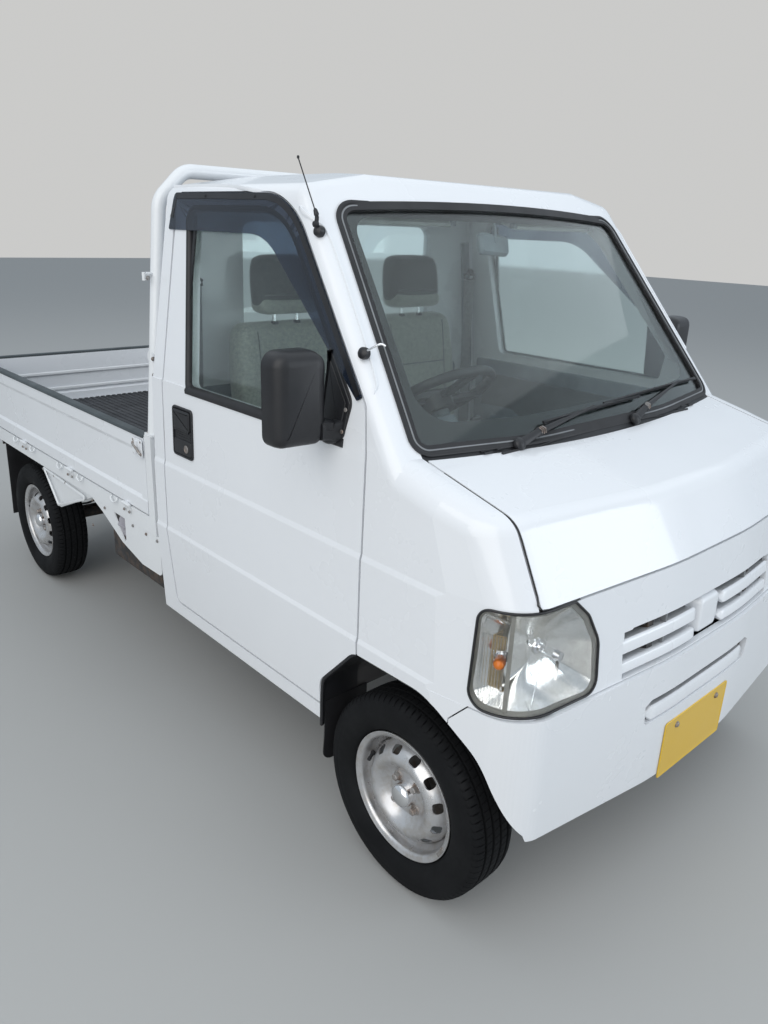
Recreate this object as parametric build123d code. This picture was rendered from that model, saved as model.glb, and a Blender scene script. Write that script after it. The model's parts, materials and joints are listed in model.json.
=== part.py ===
from build123d import *
import math
import os

# Kei truck, midship layout, in millimetres. X is across the truck with the left side at plus X,
# the front is toward minus Y, Z is up, and the origin is on the ground at mid-length.

# Overall size
LENGTH = 3395
WIDTH = 1475
FRONT_Y = -LENGTH / 2
REAR_Y = LENGTH / 2
HALF_WIDTH = WIDTH / 2

# Running gear
FRONT_OVERHANG = 388
REAR_OVERHANG = 587
WHEELBASE = LENGTH - FRONT_OVERHANG - REAR_OVERHANG
TYRE_RADIUS = 265
TYRE_WIDTH = 145
RIM_RADIUS = 168
RIM_WIDTH = 114
WHEEL_X = 642
KINGPIN_X = 598
FRONT_AXLE_Y = FRONT_Y + FRONT_OVERHANG
REAR_AXLE_Y = FRONT_AXLE_Y + WHEELBASE
SEAT_GAP = 0.3

# Cab
CAB_REAR_Y = FRONT_Y + 1532.5
ROOF_Z = 1728
SILL_Z = 350
FLOOR_Z = 420
DOOR_WALL = 42
NOSE_WALL = 16
SHUT_GAP = 6.4
PANEL_GAP = 3
CREASE_Z = 650
SHOULDER_Z = 872
HOOD_EDGE_Z = 885
BUMPER_TOP_Z = 640
BUMPER_PROUD = 8
BUMPER_Z = 300
LAMP_TOP_Z = HOOD_EDGE_Z - SHUT_GAP
HOOD_HALF = 643
HOOD_CREST = (FRONT_Y + 105.5, 1036)
HOOD_SLOPE = 0.25
HOOD_BACK_Y = FRONT_Y + 482.5
COWL_BACK_Y = FRONT_Y + 697.5
GRILLE_BACK_Y = FRONT_Y + 97.5
NOSE_CENTRE_Y = FRONT_Y + BUMPER_PROUD
NOSE_CORNER_X = 700
NOSE_CORNER_Y = FRONT_Y + 58
NOSE_FLANK_Y = FRONT_Y + 297.5
DOOR_FRONT_Y = FRONT_Y + 520.5
DOOR_REAR_Y = CAB_REAR_Y - 63
DOOR_BOTTOM_Z = 395
DOOR_TOP_Z = 1662
HANDLE_Y = DOOR_REAR_Y - 74
PILLAR_SEAM_Z = 1222
BELT_Z = 1080
REACH = 800
AHEAD_Y = FRONT_Y - 202.5
BEHIND_Y = CAB_REAR_Y + 165
ROOF_BACK_Y = FRONT_Y + 1197.5
SEAT_Y = CAB_REAR_Y - 135

# Windscreen: a bowed sheet that leans back from the cowl
SCREEN_FOOT = (FRONT_Y + 365.5, 1100)
SCREEN_HEAD = (FRONT_Y + 804.5, 1650)
SCREEN_BOW = 36
SCREEN_BOW_HALF = 640
GLASS = 6
SEAL_WIDTH = 24

# Bed
BED_FRONT_Y = CAB_REAR_Y + 25
BED_SIDE_X = 731
BED_TOP_Z = 932
DECK_Z = 684
DECK_THICK = 24
RAIL_Z = 590
GATE_THICK = 30
GATE_FOOT_Z = 656
GATE_REAR_Y = REAR_Y - 13.5
CORNER_POST = 42
HEADBOARD = 25

# Small sizes shared by several pieces
HOUSING_WALL = 5
HOUSING_X = 400
BULKHEAD_Y = FRONT_Y + 257.5
FLOOR_LOW_Z = SILL_Z + DOOR_WALL + SEAT_GAP
DOOR_HINGE = (-(HALF_WIDTH + 4), DOOR_FRONT_Y + 4)
GLASS_DEPTH = 14
LENS_WALL = 4
LAMP_DEPTH = 110
BOWL_CENTRE = (-574, FRONT_Y + 77.5, 762)
PLATE_HOLE_SPACING = 210
PLATE_HOLE_RADIUS = 3.5
PLATE_HOLE_Z = 425
SEAT_WIDTH = 450

# Steering
STEERING_CENTRE = (-300, FRONT_Y + 737.5, 1150)
STEERING_TILT = 54
STEERING_RADIUS = 182
STEERING_HUB = 40
UPPER_BOSS_Z = 342
LOWER_BOSS_Z = 162
KINGPIN_RADIUS = 10
RUNNING_GAP = 0.05
STRUT_X = 515

# Wheels
SPINDLE_RADIUS = 15
SPINDLE_X = 690
HUB_FACE_X = 684
SHOULDER_X = HUB_FACE_X - 46 - SEAT_GAP
RIM_SEAT = 152
RIM_WELL = 136
HAND_HOLES = 12

# Chassis
FRAME_X = 300
FRAME_WIDTH = 50
FRAME_HEIGHT = 82
FRONT_RAIL_Z = 310
REAR_RAIL_Z = 470
ENGINE_Y = (REAR_AXLE_Y - 590.5, REAR_AXLE_Y - 210.5)
SPRING_FRONT_Y = REAR_AXLE_Y - 450.5
SPRING_REAR_Y = REAR_AXLE_Y + 451.5
SPRING_EYE_Z = 400
SPRING_PAD_Z = 300
SPRING_END_Z = SPRING_EYE_Z + 10 + 2 * SEAT_GAP
RAIL_END_Y = GATE_REAR_Y - 34
SILENCER_Y = RAIL_END_Y - 210
RAIL_SIDE = [  # y, z, radius: side view of a frame rail
    (FRONT_Y + 57.5, FRONT_RAIL_Z, 0),
    (CAB_REAR_Y + 75, FRONT_RAIL_Z, 60),
    (CAB_REAR_Y + 225, REAR_RAIL_Z, 60),
    (RAIL_END_Y, REAR_RAIL_Z, 0),
    (RAIL_END_Y, REAR_RAIL_Z + 80, 0),
    (CAB_REAR_Y + 185, REAR_RAIL_Z + 80, 60),
    (CAB_REAR_Y + 35, FRONT_RAIL_Z + FRAME_HEIGHT, 60),
    (FRONT_Y + 57.5, FRONT_RAIL_Z + FRAME_HEIGHT, 0),
]
CROSSMEMBERS = [  # y, low z, high z, width along y
    (FRONT_Y + 97.5, FRONT_RAIL_Z, FRONT_RAIL_Z + 80, 60),
    (FRONT_Y + 997.5, FRONT_RAIL_Z + 10, FRONT_RAIL_Z + 70, 50),
    (ENGINE_Y[0] - 20, REAR_RAIL_Z, REAR_RAIL_Z + 80, 40),
    (ENGINE_Y[1] + 20, REAR_RAIL_Z, REAR_RAIL_Z + 80, 40),
    (SILENCER_Y, REAR_RAIL_Z, REAR_RAIL_Z + 70, 40),
    (RAIL_END_Y - 30, REAR_RAIL_Z, REAR_RAIL_Z + 80, 60),
]

# Bed details
GATE_END_Y = GATE_REAR_Y - GATE_THICK - 6
DECK_BEAMS = 6
HINGE_OFFSET = 6
HINGE_Z = 653
HINGE_RADIUS = 5.5
HINGE_PIN_RADIUS = 3
SIDE_HINGES = (BED_FRONT_Y + 200, BED_FRONT_Y + 700, GATE_END_Y - 588, GATE_END_Y - 108)
TAIL_HINGES = (-560, 0, 560)
GUARD_Y = BED_FRONT_Y + 15
GUARD_RADIUS = 21
GUARD_TOP_Z = 1745
GUARD_RAIL_Z = 1182
BUMPER_SIDE = [  # y, z, radius: side view of the bumper's region
    (AHEAD_Y, 100, 0),
    (FRONT_Y + 257.5, 100, 0),
    (FRONT_Y + 223.5, 592, 0),
    (FRONT_Y + 179.5, BUMPER_TOP_Z, 0),
    (AHEAD_Y, BUMPER_TOP_Z, 0),
]


def outline(corners):
    """Face inside corners given as (a, b, radius), with lines between them and arcs at them."""
    count = len(corners)
    turn = sum(corners[i - 1][0] * corners[i][1] - corners[i][0] * corners[i - 1][1] for i in range(count))
    if turn < 0:
        corners = corners[::-1]
    starts, middles, ends = [], [], []
    for i, (a, b, radius) in enumerate(corners):
        point = Vector(a, b)
        if radius == 0:
            starts.append(point)
            middles.append(None)
            ends.append(point)
            continue
        to_before = (Vector(*corners[i - 1][:2]) - point).normalized()
        to_after = (Vector(*corners[(i + 1) % count][:2]) - point).normalized()
        half_angle = math.radians(to_before.get_angle(to_after)) / 2
        reach = radius / math.tan(half_angle)
        inward = (to_before + to_after).normalized()
        starts.append(point + to_before * reach)
        middles.append(point + inward * (radius / math.sin(half_angle) - radius))
        ends.append(point + to_after * reach)
    edges = []
    for i in range(count):
        if middles[i] is not None:
            edges.append(Edge.make_three_point_arc(starts[i], middles[i], ends[i]))
        following = starts[(i + 1) % count]
        if (following - ends[i]).length > 1e-6:
            edges.append(Edge.make_line(ends[i], following))
    return Face(Wire(edges))


def inset(face, amount):
    """The face with its edge moved inward by amount, or outward where it is negative."""
    if amount == 0:
        return face
    return offset(face, amount=-amount, kind=Kind.INTERSECTION)


def across(face, low, high):
    """Side view outline (y, z) extruded from x = low to x = high."""
    return Pos(low, 0, 0) * extrude(Plane.YZ * face, amount=high - low)


def along(face, low, high):
    """Front view outline (x, z) extruded from y = low to y = high."""
    return Pos(0, high, 0) * extrude(Plane.XZ * face, amount=high - low)


def upward(face, low, high, run=0):
    """Plan outline (x, y) extruded from z = low to z = high, and run back on the way."""
    rise = high - low
    return extrude(Pos(0, 0, low) * face, amount=math.hypot(rise, run), dir=(0, run, rise))


def mirrored(corners):
    """Right half of a symmetric outline completed with its mirror image."""
    return corners + [(-a, b, radius) for a, b, radius in reversed(corners)]


def box(x_range, y_range, z_range):
    """Box between the given limits, in either order."""
    ranges = [sorted(limits) for limits in (x_range, y_range, z_range)]
    centre = [(low + high) / 2 for low, high in ranges]
    return Pos(*centre) * Box(*[high - low for low, high in ranges])


def rod(start, end, radius):
    """Round bar from start to end."""
    start, end = Vector(*start), Vector(*end)
    span = end - start
    plane = Plane(origin=start, z_dir=span.normalized())
    return extrude(plane * Circle(radius), amount=span.length)


def both_sides(solid):
    """The solid with its mirror image across the truck's centre plane."""
    return Compound([solid, mirror(solid, about=Plane.YZ)])


def left(solid):
    """The solid's mirror image on the truck's left side."""
    return mirror(solid, about=Plane.YZ)


def joined(solids):
    """Several solids fused into one."""
    result = solids[0]
    for solid in solids[1:]:
        result = result + solid
    return result


# Cab surfaces
FLANK = [  # x, z, radius: right half of the front view below the belt
    (716, 200, 0),
    (HALF_WIDTH, CREASE_Z, 0),
    (HALF_WIDTH - 4, CREASE_Z + 12, 0),
    (HALF_WIDTH - 5, SHOULDER_Z - 8, 8),
    (HALF_WIDTH - 9, SHOULDER_Z + 6, 8),
    (HALF_WIDTH - 15, 1180, 0),
]
GREENHOUSE = [  # x, z, radius: right half of the front view above the belt
    (HALF_WIDTH - 11, 980, 0),
    (HALF_WIDTH - 13.5, 1105, 300),
    (641, 1676, 50),
    (330, ROOF_Z, 900),
]
PLAN = [  # x, y, radius: right half of the plan, from the rear to the nose
    (HALF_WIDTH + 30, 0, 0),
    (HALF_WIDTH + 30, NOSE_FLANK_Y + 120, 0),
    (HALF_WIDTH + 1, NOSE_FLANK_Y, 600),
    (NOSE_CORNER_X, NOSE_CORNER_Y, 112),
    (180, NOSE_CENTRE_Y, 1500),
]
NOSE_LAYERS = [  # low z, high z, setback of the face at its foot, further run back by its top
    (BUMPER_Z - 100, BUMPER_TOP_Z, -BUMPER_PROUD, 0),
    (BUMPER_TOP_Z, HOOD_EDGE_Z, 0, 22),
    (HOOD_EDGE_Z, 1200, 22, 157),
]
DOOR = [  # y, z, radius: opening for the right door
    (DOOR_REAR_Y - 24, DOOR_BOTTOM_Z, 30),
    (DOOR_REAR_Y, CREASE_Z, 300),
    (DOOR_REAR_Y, DOOR_TOP_Z, 30),
    (FRONT_Y + 907.5, DOOR_TOP_Z, 250),
    (FRONT_Y + 542.5, 1215, 60),
    (DOOR_FRONT_Y, 1110, 150),
    (DOOR_FRONT_Y, DOOR_BOTTOM_Z, 0),
]
WINDOW = [  # y, z, radius: opening in the door
    (DOOR_REAR_Y - 150, 1127, 22),
    (DOOR_REAR_Y - 77, 1618, 35),
    (FRONT_Y + 929.5, 1618, 215),
    (FRONT_Y + 599.5, 1215, 25),
    (FRONT_Y + 617.5, 1127, 22),
]
VISOR = [  # y, z, radius: smoked rain visor on the door
    (DOOR_REAR_Y + 22, 1560, 6),
    (DOOR_REAR_Y + 2, 1660, 10),
    (FRONT_Y + 909.5, 1658, 246),
    (FRONT_Y + 559.5, 1232, 6),
    (FRONT_Y + 575.5, 1224, 4),
    (FRONT_Y + 997.5, 1560, 190),
]
ARCH = [  # y, z, radius: front wheel arch
    (FRONT_AXLE_Y + 288.5, 100, 0),
    (FRONT_AXLE_Y + 288.5, 470, 60),
    (FRONT_AXLE_Y + 149.5, 617, 60),
    (FRONT_AXLE_Y - 100.5, 622, 140),
    (FRONT_AXLE_Y - 250.5, 520, 160),
    (FRONT_AXLE_Y - 335.5, 350, 0),
    (FRONT_AXLE_Y - 380.5, 100, 0),
]
LAMP_FRONT = [  # x, z, radius: headlamp seen from the front, right half
    (542, LAMP_TOP_Z, 0),
    (498, 838, 50),
    (462, 770, 60),
    (462, BUMPER_TOP_Z + 8, 35),
    (REACH, BUMPER_TOP_Z + 8, 0),
    (REACH, LAMP_TOP_Z, 0),
]
LAMP_SIDE = [  # y, z, radius: headlamp seen from the side
    (AHEAD_Y, BUMPER_TOP_Z + 8, 0),
    (FRONT_Y + 184.5, BUMPER_TOP_Z + 8, 40),
    (FRONT_Y + 175.5, LAMP_TOP_Z, 32),
    (AHEAD_Y, LAMP_TOP_Z, 0),
]
SCREEN = [  # x, slope distance, radius: windscreen opening in its own plane
    (664, 56, 45),
    (582, 712, 62),
    (-582, 712, 62),
    (-664, 56, 45),
    (-290, 14, 1800),
    (290, 14, 1800),
]
GRILLE_SLOTS = [  # z, height, inner x, outer x
    (752, 18, 104, 372),
    (697, 12, 92, 370),
    (650, 9, 46, 368),
]


def hood_height(y):
    """Height of the hood's top surface at y."""
    return HOOD_CREST[1] + (y - HOOD_CREST[0]) * HOOD_SLOPE


def screen_plane():
    """Plane at the windscreen's foot: x across, y up the slope, z outward."""
    run = SCREEN_HEAD[0] - SCREEN_FOOT[0]
    rise = SCREEN_HEAD[1] - SCREEN_FOOT[1]
    normal = Vector(0, -rise, run).normalized()
    return Plane(origin=(0, SCREEN_FOOT[0], SCREEN_FOOT[1]), x_dir=(1, 0, 0), z_dir=normal)


def screen_layer(inner, outer, low=-500, high=1500):
    """Bowed layer parallel to the windscreen, from depth inner to depth outer."""
    plane = screen_plane()
    section = Plane(origin=plane.origin, x_dir=(1, 0, 0), z_dir=-plane.y_dir)
    half = SCREEN_BOW_HALF * 1.4
    drop = SCREEN_BOW * 1.96
    edges = [
        Edge.make_three_point_arc((-half, outer - drop), (0, outer), (half, outer - drop)),
        Edge.make_line((half, outer - drop), (half, inner - drop)),
        Edge.make_three_point_arc((half, inner - drop), (0, inner), (-half, inner - drop)),
        Edge.make_line((-half, inner - drop), (-half, outer - drop)),
    ]
    solid = extrude(section * Face(Wire(edges)), amount=high - low, dir=plane.y_dir)
    return Pos(*(plane.y_dir * low)) * solid


def upper_cab(depth):
    """Greenhouse solid, each surface moved inward by depth."""
    side = outline([
        (CAB_REAR_Y, 960, 0),
        (CAB_REAR_Y - 14, ROOF_Z - 14, 55),
        (ROOF_BACK_Y, ROOF_Z, 2600),
        (SCREEN_HEAD[0] - 67, ROOF_Z - 26, 0),
        (FRONT_Y + 217.5, ROOF_Z - 80, 0),
        (FRONT_Y + 217.5, 960, 0),
    ])
    solid = across(inset(side, depth), -REACH, REACH)
    solid &= along(inset(outline(mirrored(GREENHOUSE)), depth), AHEAD_Y, BEHIND_Y)
    solid &= screen_layer(AHEAD_Y - BEHIND_Y, -depth)
    if depth > 0:
        return solid
    screen = [f for f in solid.faces() if f.normal_at().Y < -0.5 and f.area > 3e5][0]
    edges = [e for e in screen.edges() if e.position_at(0.5).Z > 1000]
    return solid.fillet(40, edges)


def lower_cab(depth):
    """Body below the belt with the nose, each surface moved inward by depth."""
    nose = None
    for low, high, setback, run in NOSE_LAYERS:
        plan = Pos(0, setback, 0) * inset(outline(mirrored(PLAN)), depth)
        layer = upward(plan, low, high, run)
        nose = layer if nose is None else nose + layer
    flank = along(inset(outline(mirrored(FLANK)), depth), AHEAD_Y, BEHIND_Y)
    top = outline([
        (CAB_REAR_Y - depth, SILL_Z + depth, 0),
        (CAB_REAR_Y - depth, hood_height(HOOD_BACK_Y) - depth, 0),
        (HOOD_BACK_Y, hood_height(HOOD_BACK_Y) - depth, 0),
        (FRONT_Y - 102.5, hood_height(FRONT_Y - 102.5) - depth, 0),
        (FRONT_Y - 102.5, BUMPER_Z - 66 + depth, 0),
        (FRONT_Y + 77.5, SILL_Z + depth, 0),
    ])
    solid = nose & flank & across(top, -REACH, REACH)
    if depth > 0:
        return solid
    slope = [f for f in solid.faces() if f.normal_at().Z > 0.9 and abs(f.normal_at().Y) > 0.1][0]
    edges = [e for e in slope.edges() if e.position_at(0.5).Y < NOSE_FLANK_Y + 100 or abs(e.position_at(0.5).X) > 600]
    return solid.fillet(60, edges)


def cab_solid(depth):
    """The whole cab as a solid, each surface moved inward by depth."""
    return upper_cab(depth) + lower_cab(depth)


def reversed_outline(corners):
    """Outline on the truck's right side, from a table that gives x as a distance from the middle."""
    return outline([(-a, b, radius) for a, b, radius in corners])


OUTER = cab_solid(0)
UNDER_NOSE = cab_solid(NOSE_WALL)
UNDER_WALL = cab_solid(DOOR_WALL)
NOSE_SKIN = OUTER - UNDER_NOSE
WALL_SKIN = OUTER - UNDER_WALL
NOSE_REGION = across(outline([
    (AHEAD_Y, 100, 0),
    (DOOR_FRONT_Y, 100, 0),
    (DOOR_FRONT_Y, 1110, 150),
    (DOOR_FRONT_Y + 25, PILLAR_SEAM_Z, 0),
    (AHEAD_Y, PILLAR_SEAM_Z, 0),
]), -REACH, REACH)
NOSE_PANELS = NOSE_SKIN & NOSE_REGION
ARCH_CUT = both_sides(across(outline(ARCH), -REACH, -405))
SCREEN_CUT = extrude(screen_plane() * outline(SCREEN), amount=160, both=True)


def lamp_solid(gap):
    """Headlamp space on the right, smaller by gap all round."""
    front = along(inset(reversed_outline(LAMP_FRONT), gap), AHEAD_Y, NOSE_FLANK_Y)
    return front & across(inset(outline(LAMP_SIDE), gap), -REACH + gap, -300)


def make_cab_shell():
    """Pillars, roof, rear wall and sills, with the openings cut."""
    shell = WALL_SKIN - NOSE_REGION
    shell -= both_sides(across(outline(DOOR), -REACH, -560))
    shell -= ARCH_CUT
    rear_window = outline([(-415, 1130, 40), (415, 1130, 40), (415, 1590, 40), (-415, 1590, 40)])
    shell -= along(rear_window, SEAT_Y, BEHIND_Y)
    shell -= box((-640, 640), (AHEAD_Y, BEHIND_Y), (200, FLOOR_LOW_Z))
    post = box((-672, -644), (DOOR_FRONT_Y - 61, DOOR_FRONT_Y + 59), (560, PILLAR_SEAM_Z + 16)) & UNDER_NOSE
    door_space = across(outline(DOOR), -REACH, 0) - upper_cab(DOOR_WALL + SHUT_GAP)
    post -= door_space & box((-REACH, 0), (AHEAD_Y, BEHIND_Y), (BELT_Z, ROOF_Z))
    post -= box((-REACH, 0), (DOOR_FRONT_Y + 20, BEHIND_Y), (BELT_Z + 60, ROOF_Z))
    post -= across(inset(outline(ARCH), -HOUSING_WALL), -REACH, 0)
    return shell + post + left(post) - SCREEN_CUT


def make_cab_floor():
    """Floor, front wheel housings and bulkhead."""
    around = inset(outline(ARCH), -HOUSING_WALL)
    floor = box((-668, 668), (BULKHEAD_Y, CAB_REAR_Y - DOOR_WALL), (FLOOR_LOW_Z, FLOOR_LOW_Z + 20))
    floor += box((-700, 700), (BULKHEAD_Y, BULKHEAD_Y + 8), (FLOOR_LOW_Z, 1040)) & UNDER_NOSE
    buffer_top = hood_height(BULKHEAD_Y) - NOSE_WALL - SEAT_GAP
    for x in (-400, 400):
        floor += box((x - 20, x + 20), (BULKHEAD_Y, BULKHEAD_Y + 8), (1030, buffer_top))
    floor -= both_sides(across(around, -REACH, -HOUSING_X))
    housing = across(around, -668, -HOUSING_X)
    housing += across(around, -REACH, -HOUSING_X) & NOSE_REGION & UNDER_NOSE
    housing &= UNDER_NOSE
    housing -= across(outline(ARCH), -REACH, -HOUSING_X - HOUSING_WALL)
    housing -= box((-REACH, 0), (AHEAD_Y, BEHIND_Y), (0, FLOOR_LOW_Z))
    return floor + housing + left(housing)


def make_fenders():
    """Front fenders from the door to the headlamp, with the pillar's foot."""
    bumper_edge = outline(BUMPER_SIDE)
    half = HOOD_HALF + SHUT_GAP / 2
    solid = NOSE_PANELS - box((-half, half), (AHEAD_Y, COWL_BACK_Y), (100, 1300))
    solid -= across(inset(bumper_edge, -PANEL_GAP), -REACH, REACH)
    solid -= both_sides(lamp_solid(-PANEL_GAP))
    solid -= ARCH_CUT
    return solid - SCREEN_CUT


def make_cowl():
    """Panel under the windscreen, behind the hood."""
    half = HOOD_HALF + SHUT_GAP / 2
    solid = NOSE_PANELS & box((-half, half), (AHEAD_Y, COWL_BACK_Y), (1000, 1300))
    solid &= screen_layer(-80, 0.5)
    return solid - SCREEN_CUT


def make_bumper():
    """Front bumper with its lower slot and the plate's holes."""
    solid = NOSE_SKIN & across(outline(BUMPER_SIDE), -REACH, REACH)
    solid -= ARCH_CUT
    solid -= box((-600, 600), (FRONT_Y + 57.5, COWL_BACK_Y), (100, 560))
    solid -= box((-230, 230), (AHEAD_Y, GRILLE_BACK_Y), (524, 536))
    for side in (-1, 1):
        x = side * PLATE_HOLE_SPACING / 2
        solid -= rod((x, AHEAD_Y, PLATE_HOLE_Z), (x, GRILLE_BACK_Y, PLATE_HOLE_Z), PLATE_HOLE_RADIUS)
    return solid


def make_grille():
    """Panel between the headlamps with its slots."""
    top = HOOD_EDGE_Z - SHUT_GAP
    solid = NOSE_SKIN & box((-600, 600), (AHEAD_Y, NOSE_FLANK_Y), (BUMPER_TOP_Z + PANEL_GAP, top))
    solid -= both_sides(lamp_solid(-PANEL_GAP))
    for z, height, inner, outer in GRILLE_SLOTS:
        slot = box((-outer, -inner), (AHEAD_Y, GRILLE_BACK_Y), (z - height / 2, z + height / 2))
        solid -= slot
        solid -= left(slot)
    return solid


def make_hood():
    """Hood from the cowl down to the headlamps."""
    half = HOOD_HALF - SHUT_GAP / 2
    solid = NOSE_SKIN & box((-half, half), (AHEAD_Y, COWL_BACK_Y), (HOOD_EDGE_Z, 1300))
    return solid - screen_layer(AHEAD_Y - BEHIND_Y, SHUT_GAP)


def make_headlamp():
    """Right headlamp housing with its reflector bowl and signal pocket."""
    front = lower_cab(LENS_WALL)
    housing = (front & lamp_solid(0)) - lower_cab(LAMP_DEPTH)
    flange = (UNDER_NOSE - lower_cab(NOSE_WALL + 4)) & lamp_solid(-PANEL_GAP - 8)
    housing += flange - box((-REACH, 0), (AHEAD_Y, NOSE_FLANK_Y), (LAMP_TOP_Z, 950))
    bowl = Pos(*BOWL_CENTRE) * Rot(90, 0, 0) * Cone(36, 92, 100)
    housing -= bowl & lamp_solid(10)
    pocket = (front - lower_cab(LENS_WALL + 34)) & lamp_solid(10)
    housing -= pocket & box((-REACH, BOWL_CENTRE[0] - 116), (AHEAD_Y, NOSE_FLANK_Y), (600, 900))
    return solo(housing)


def make_headlamp_lens():
    """Right headlamp lens."""
    return (OUTER - lower_cab(LENS_WALL)) & lamp_solid(0)


def make_windscreen():
    """Windscreen glass."""
    sheet = screen_layer(-11, -11 + GLASS)
    return sheet & extrude(screen_plane() * inset(outline(SCREEN), 10), amount=160, both=True)


def make_windscreen_seal(glass):
    """Rubber seal around the windscreen."""
    ring = outline(SCREEN) - inset(outline(SCREEN), SEAL_WIDTH)
    solid = screen_layer(-17, 3) & extrude(screen_plane() * ring, amount=160, both=True)
    return solid - glass


def make_rear_glass():
    """Rear window glass, set in the rear wall."""
    pane = outline([(-415, 1130, 40), (415, 1130, 40), (415, 1590, 40), (-415, 1590, 40)])
    return along(pane, CAB_REAR_Y - 34, CAB_REAR_Y - 29)


def make_door_glass():
    """Glass of the right door."""
    sheet = upper_cab(GLASS_DEPTH) - upper_cab(GLASS_DEPTH + 5)
    return sheet & across(inset(outline(WINDOW), -8), -REACH, -500)


def make_door(glass):
    """Right door with its window opening and handle recess."""
    radius = DOOR_REAR_Y - SHUT_GAP - DOOR_HINGE[1]
    swing = upward(Pos(*DOOR_HINGE) * Circle(radius).face(), 300, 1800)
    solid = WALL_SKIN & across(inset(outline(DOOR), SHUT_GAP), -REACH, -560) & swing
    solid -= ARCH_CUT
    solid -= across(outline(WINDOW), -REACH, -500)
    solid -= glass
    handle = outline([
        (HANDLE_Y, 922, 12), (HANDLE_Y, 1065, 12), (HANDLE_Y - 50, 1065, 12), (HANDLE_Y - 50, 922, 12),
    ])
    solid -= across(handle, -REACH, -HALF_WIDTH + 26)
    return solo(solid)


def make_visor():
    """Smoked rain visor over the right door's window."""
    face = outline(mirrored(GREENHOUSE))
    sheet = along(inset(face, -4) - face, AHEAD_Y, BEHIND_Y)
    return solo(sheet & across(outline(VISOR), -REACH, -500))


def make_mirror():
    """Right door mirror on its mounting plate."""
    y = DOOR_FRONT_Y + 95
    plan = outline([(-758, y, 22), (-878, y + 12, 30), (-884, y + 76, 14), (-752, y + 76, 10)])
    head = upward(plan, 1118, 1333)
    head = head.fillet(14, [e for e in head.edges() if abs(e.position_at(0.5).Z - 1225) > 100
                            and e.position_at(0.5).Y < y + 72])
    face = outline(mirrored(GREENHOUSE))
    plate_shape = across(outline([
        (y + 70, 1134, 12), (y - 8, 1238, 10), (y - 32, 1210, 10), (y - 16, 1134, 12),
    ]), -REACH, -500)
    plate = along(inset(face, -10) - face, AHEAD_Y, BEHIND_Y) & plate_shape
    recess = along(face - inset(face, GLASS_DEPTH - SEAT_GAP), AHEAD_Y, BEHIND_Y)
    plate += recess & plate_shape & across(inset(outline(WINDOW), SEAT_GAP), -REACH, -500)
    arm = box((-766, -700), (y + 6, y + 30), (1140, 1170)) - along(face, AHEAD_Y, BEHIND_Y)
    return solo(head + arm + plate)


def solo(shape):
    """The largest solid of a shape, without the slivers that a cut may leave."""
    return max(shape.solids(), key=lambda s: s.volume)


def make_dashboard():
    """Dashboard with the steering column's cover."""
    y = SCREEN_FOOT[0] + 48
    profile = outline([
        (y, 1052, 10),
        (y + 134, 1092, 30),
        (y + 226, 1062, 24),
        (y + 238, 960, 20),
        (y + 188, 820, 30),
        (y + 104, 780, 20),
        (y, 780, 10),
    ])
    solid = across(profile, -643.7, 643.7)
    solid &= UNDER_WALL
    knee = box((-643.7, 643.7), (y, BULKHEAD_Y + 8), (820, 860)) & UNDER_NOSE
    end = Vector(*STEERING_CENTRE) - steering_axis() * (STEERING_HUB + SEAT_GAP)
    start = end - steering_axis() * 200
    return solo(solid + knee + rod(tuple(start), tuple(end), 30))


def steering_axis():
    """Direction of the steering column, toward the driver."""
    angle = math.radians(STEERING_TILT)
    return Vector(0, math.cos(angle), math.sin(angle))


def make_steering_wheel():
    """Steering wheel with three spokes."""
    plane = Plane(origin=STEERING_CENTRE, x_dir=(1, 0, 0), z_dir=steering_axis())
    solid = plane * Torus(STEERING_RADIUS - 13, 13)
    solid += plane * Pos(0, 0, -STEERING_HUB / 2) * Cylinder(52, STEERING_HUB)
    for angle in (0, 180, 270):
        spoke = Rot(0, 0, angle) * Pos((STEERING_RADIUS - 10) / 2, 0, -8) * Box(STEERING_RADIUS - 24, 34, 12)
        solid += plane * spoke
    return solid


def make_seat(x):
    """Seat centred at x, with its cushion, back and headrest in one."""
    y = SEAT_Y
    cushion = across(outline([
        (y - 390, 640, 20), (y - 400, 762, 40), (y - 60, 744, 20), (y, 744, 10), (y, 640, 10),
    ]), x - SEAT_WIDTH / 2, x + SEAT_WIDTH / 2)
    back = across(outline([
        (y - 100, 700, 20), (y - 18, 1290, 30), (y + 78, 1290, 30), (y + 38, 700, 20),
    ]), x - SEAT_WIDTH / 2 + 20, x + SEAT_WIDTH / 2 - 20)
    headrest = across(outline([
        (y - 30, 1322, 30), (y - 18, 1496, 34), (y + 68, 1496, 30), (y + 60, 1322, 24),
    ]), x - 118, x + 118)
    posts = box((x - 50, x - 38), (y + 20, y + 32), (1280, 1330))
    posts += box((x + 38, x + 50), (y + 20, y + 32), (1280, 1330))
    base_half = SEAT_WIDTH / 2 - 30
    base = box((x - base_half, x + base_half), (y - 360, y + 20), (FLOOR_LOW_Z + 20 + SEAT_GAP, 650))
    return cushion + back + headrest + posts + base


def make_radiator():
    """Radiator behind the bumper, with the uprights that carry bumper and grille."""
    y = GRILLE_BACK_Y
    solid = box((-240, 240), (y, y + 40), (FRONT_RAIL_Z + 80, 850))
    for side in (-1, 1):
        upright = box((side * 240, side * 262), (AHEAD_Y, y + 40), (FRONT_RAIL_Z + 80, 850))
        solid += upright & UNDER_NOSE
    return solid


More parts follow.
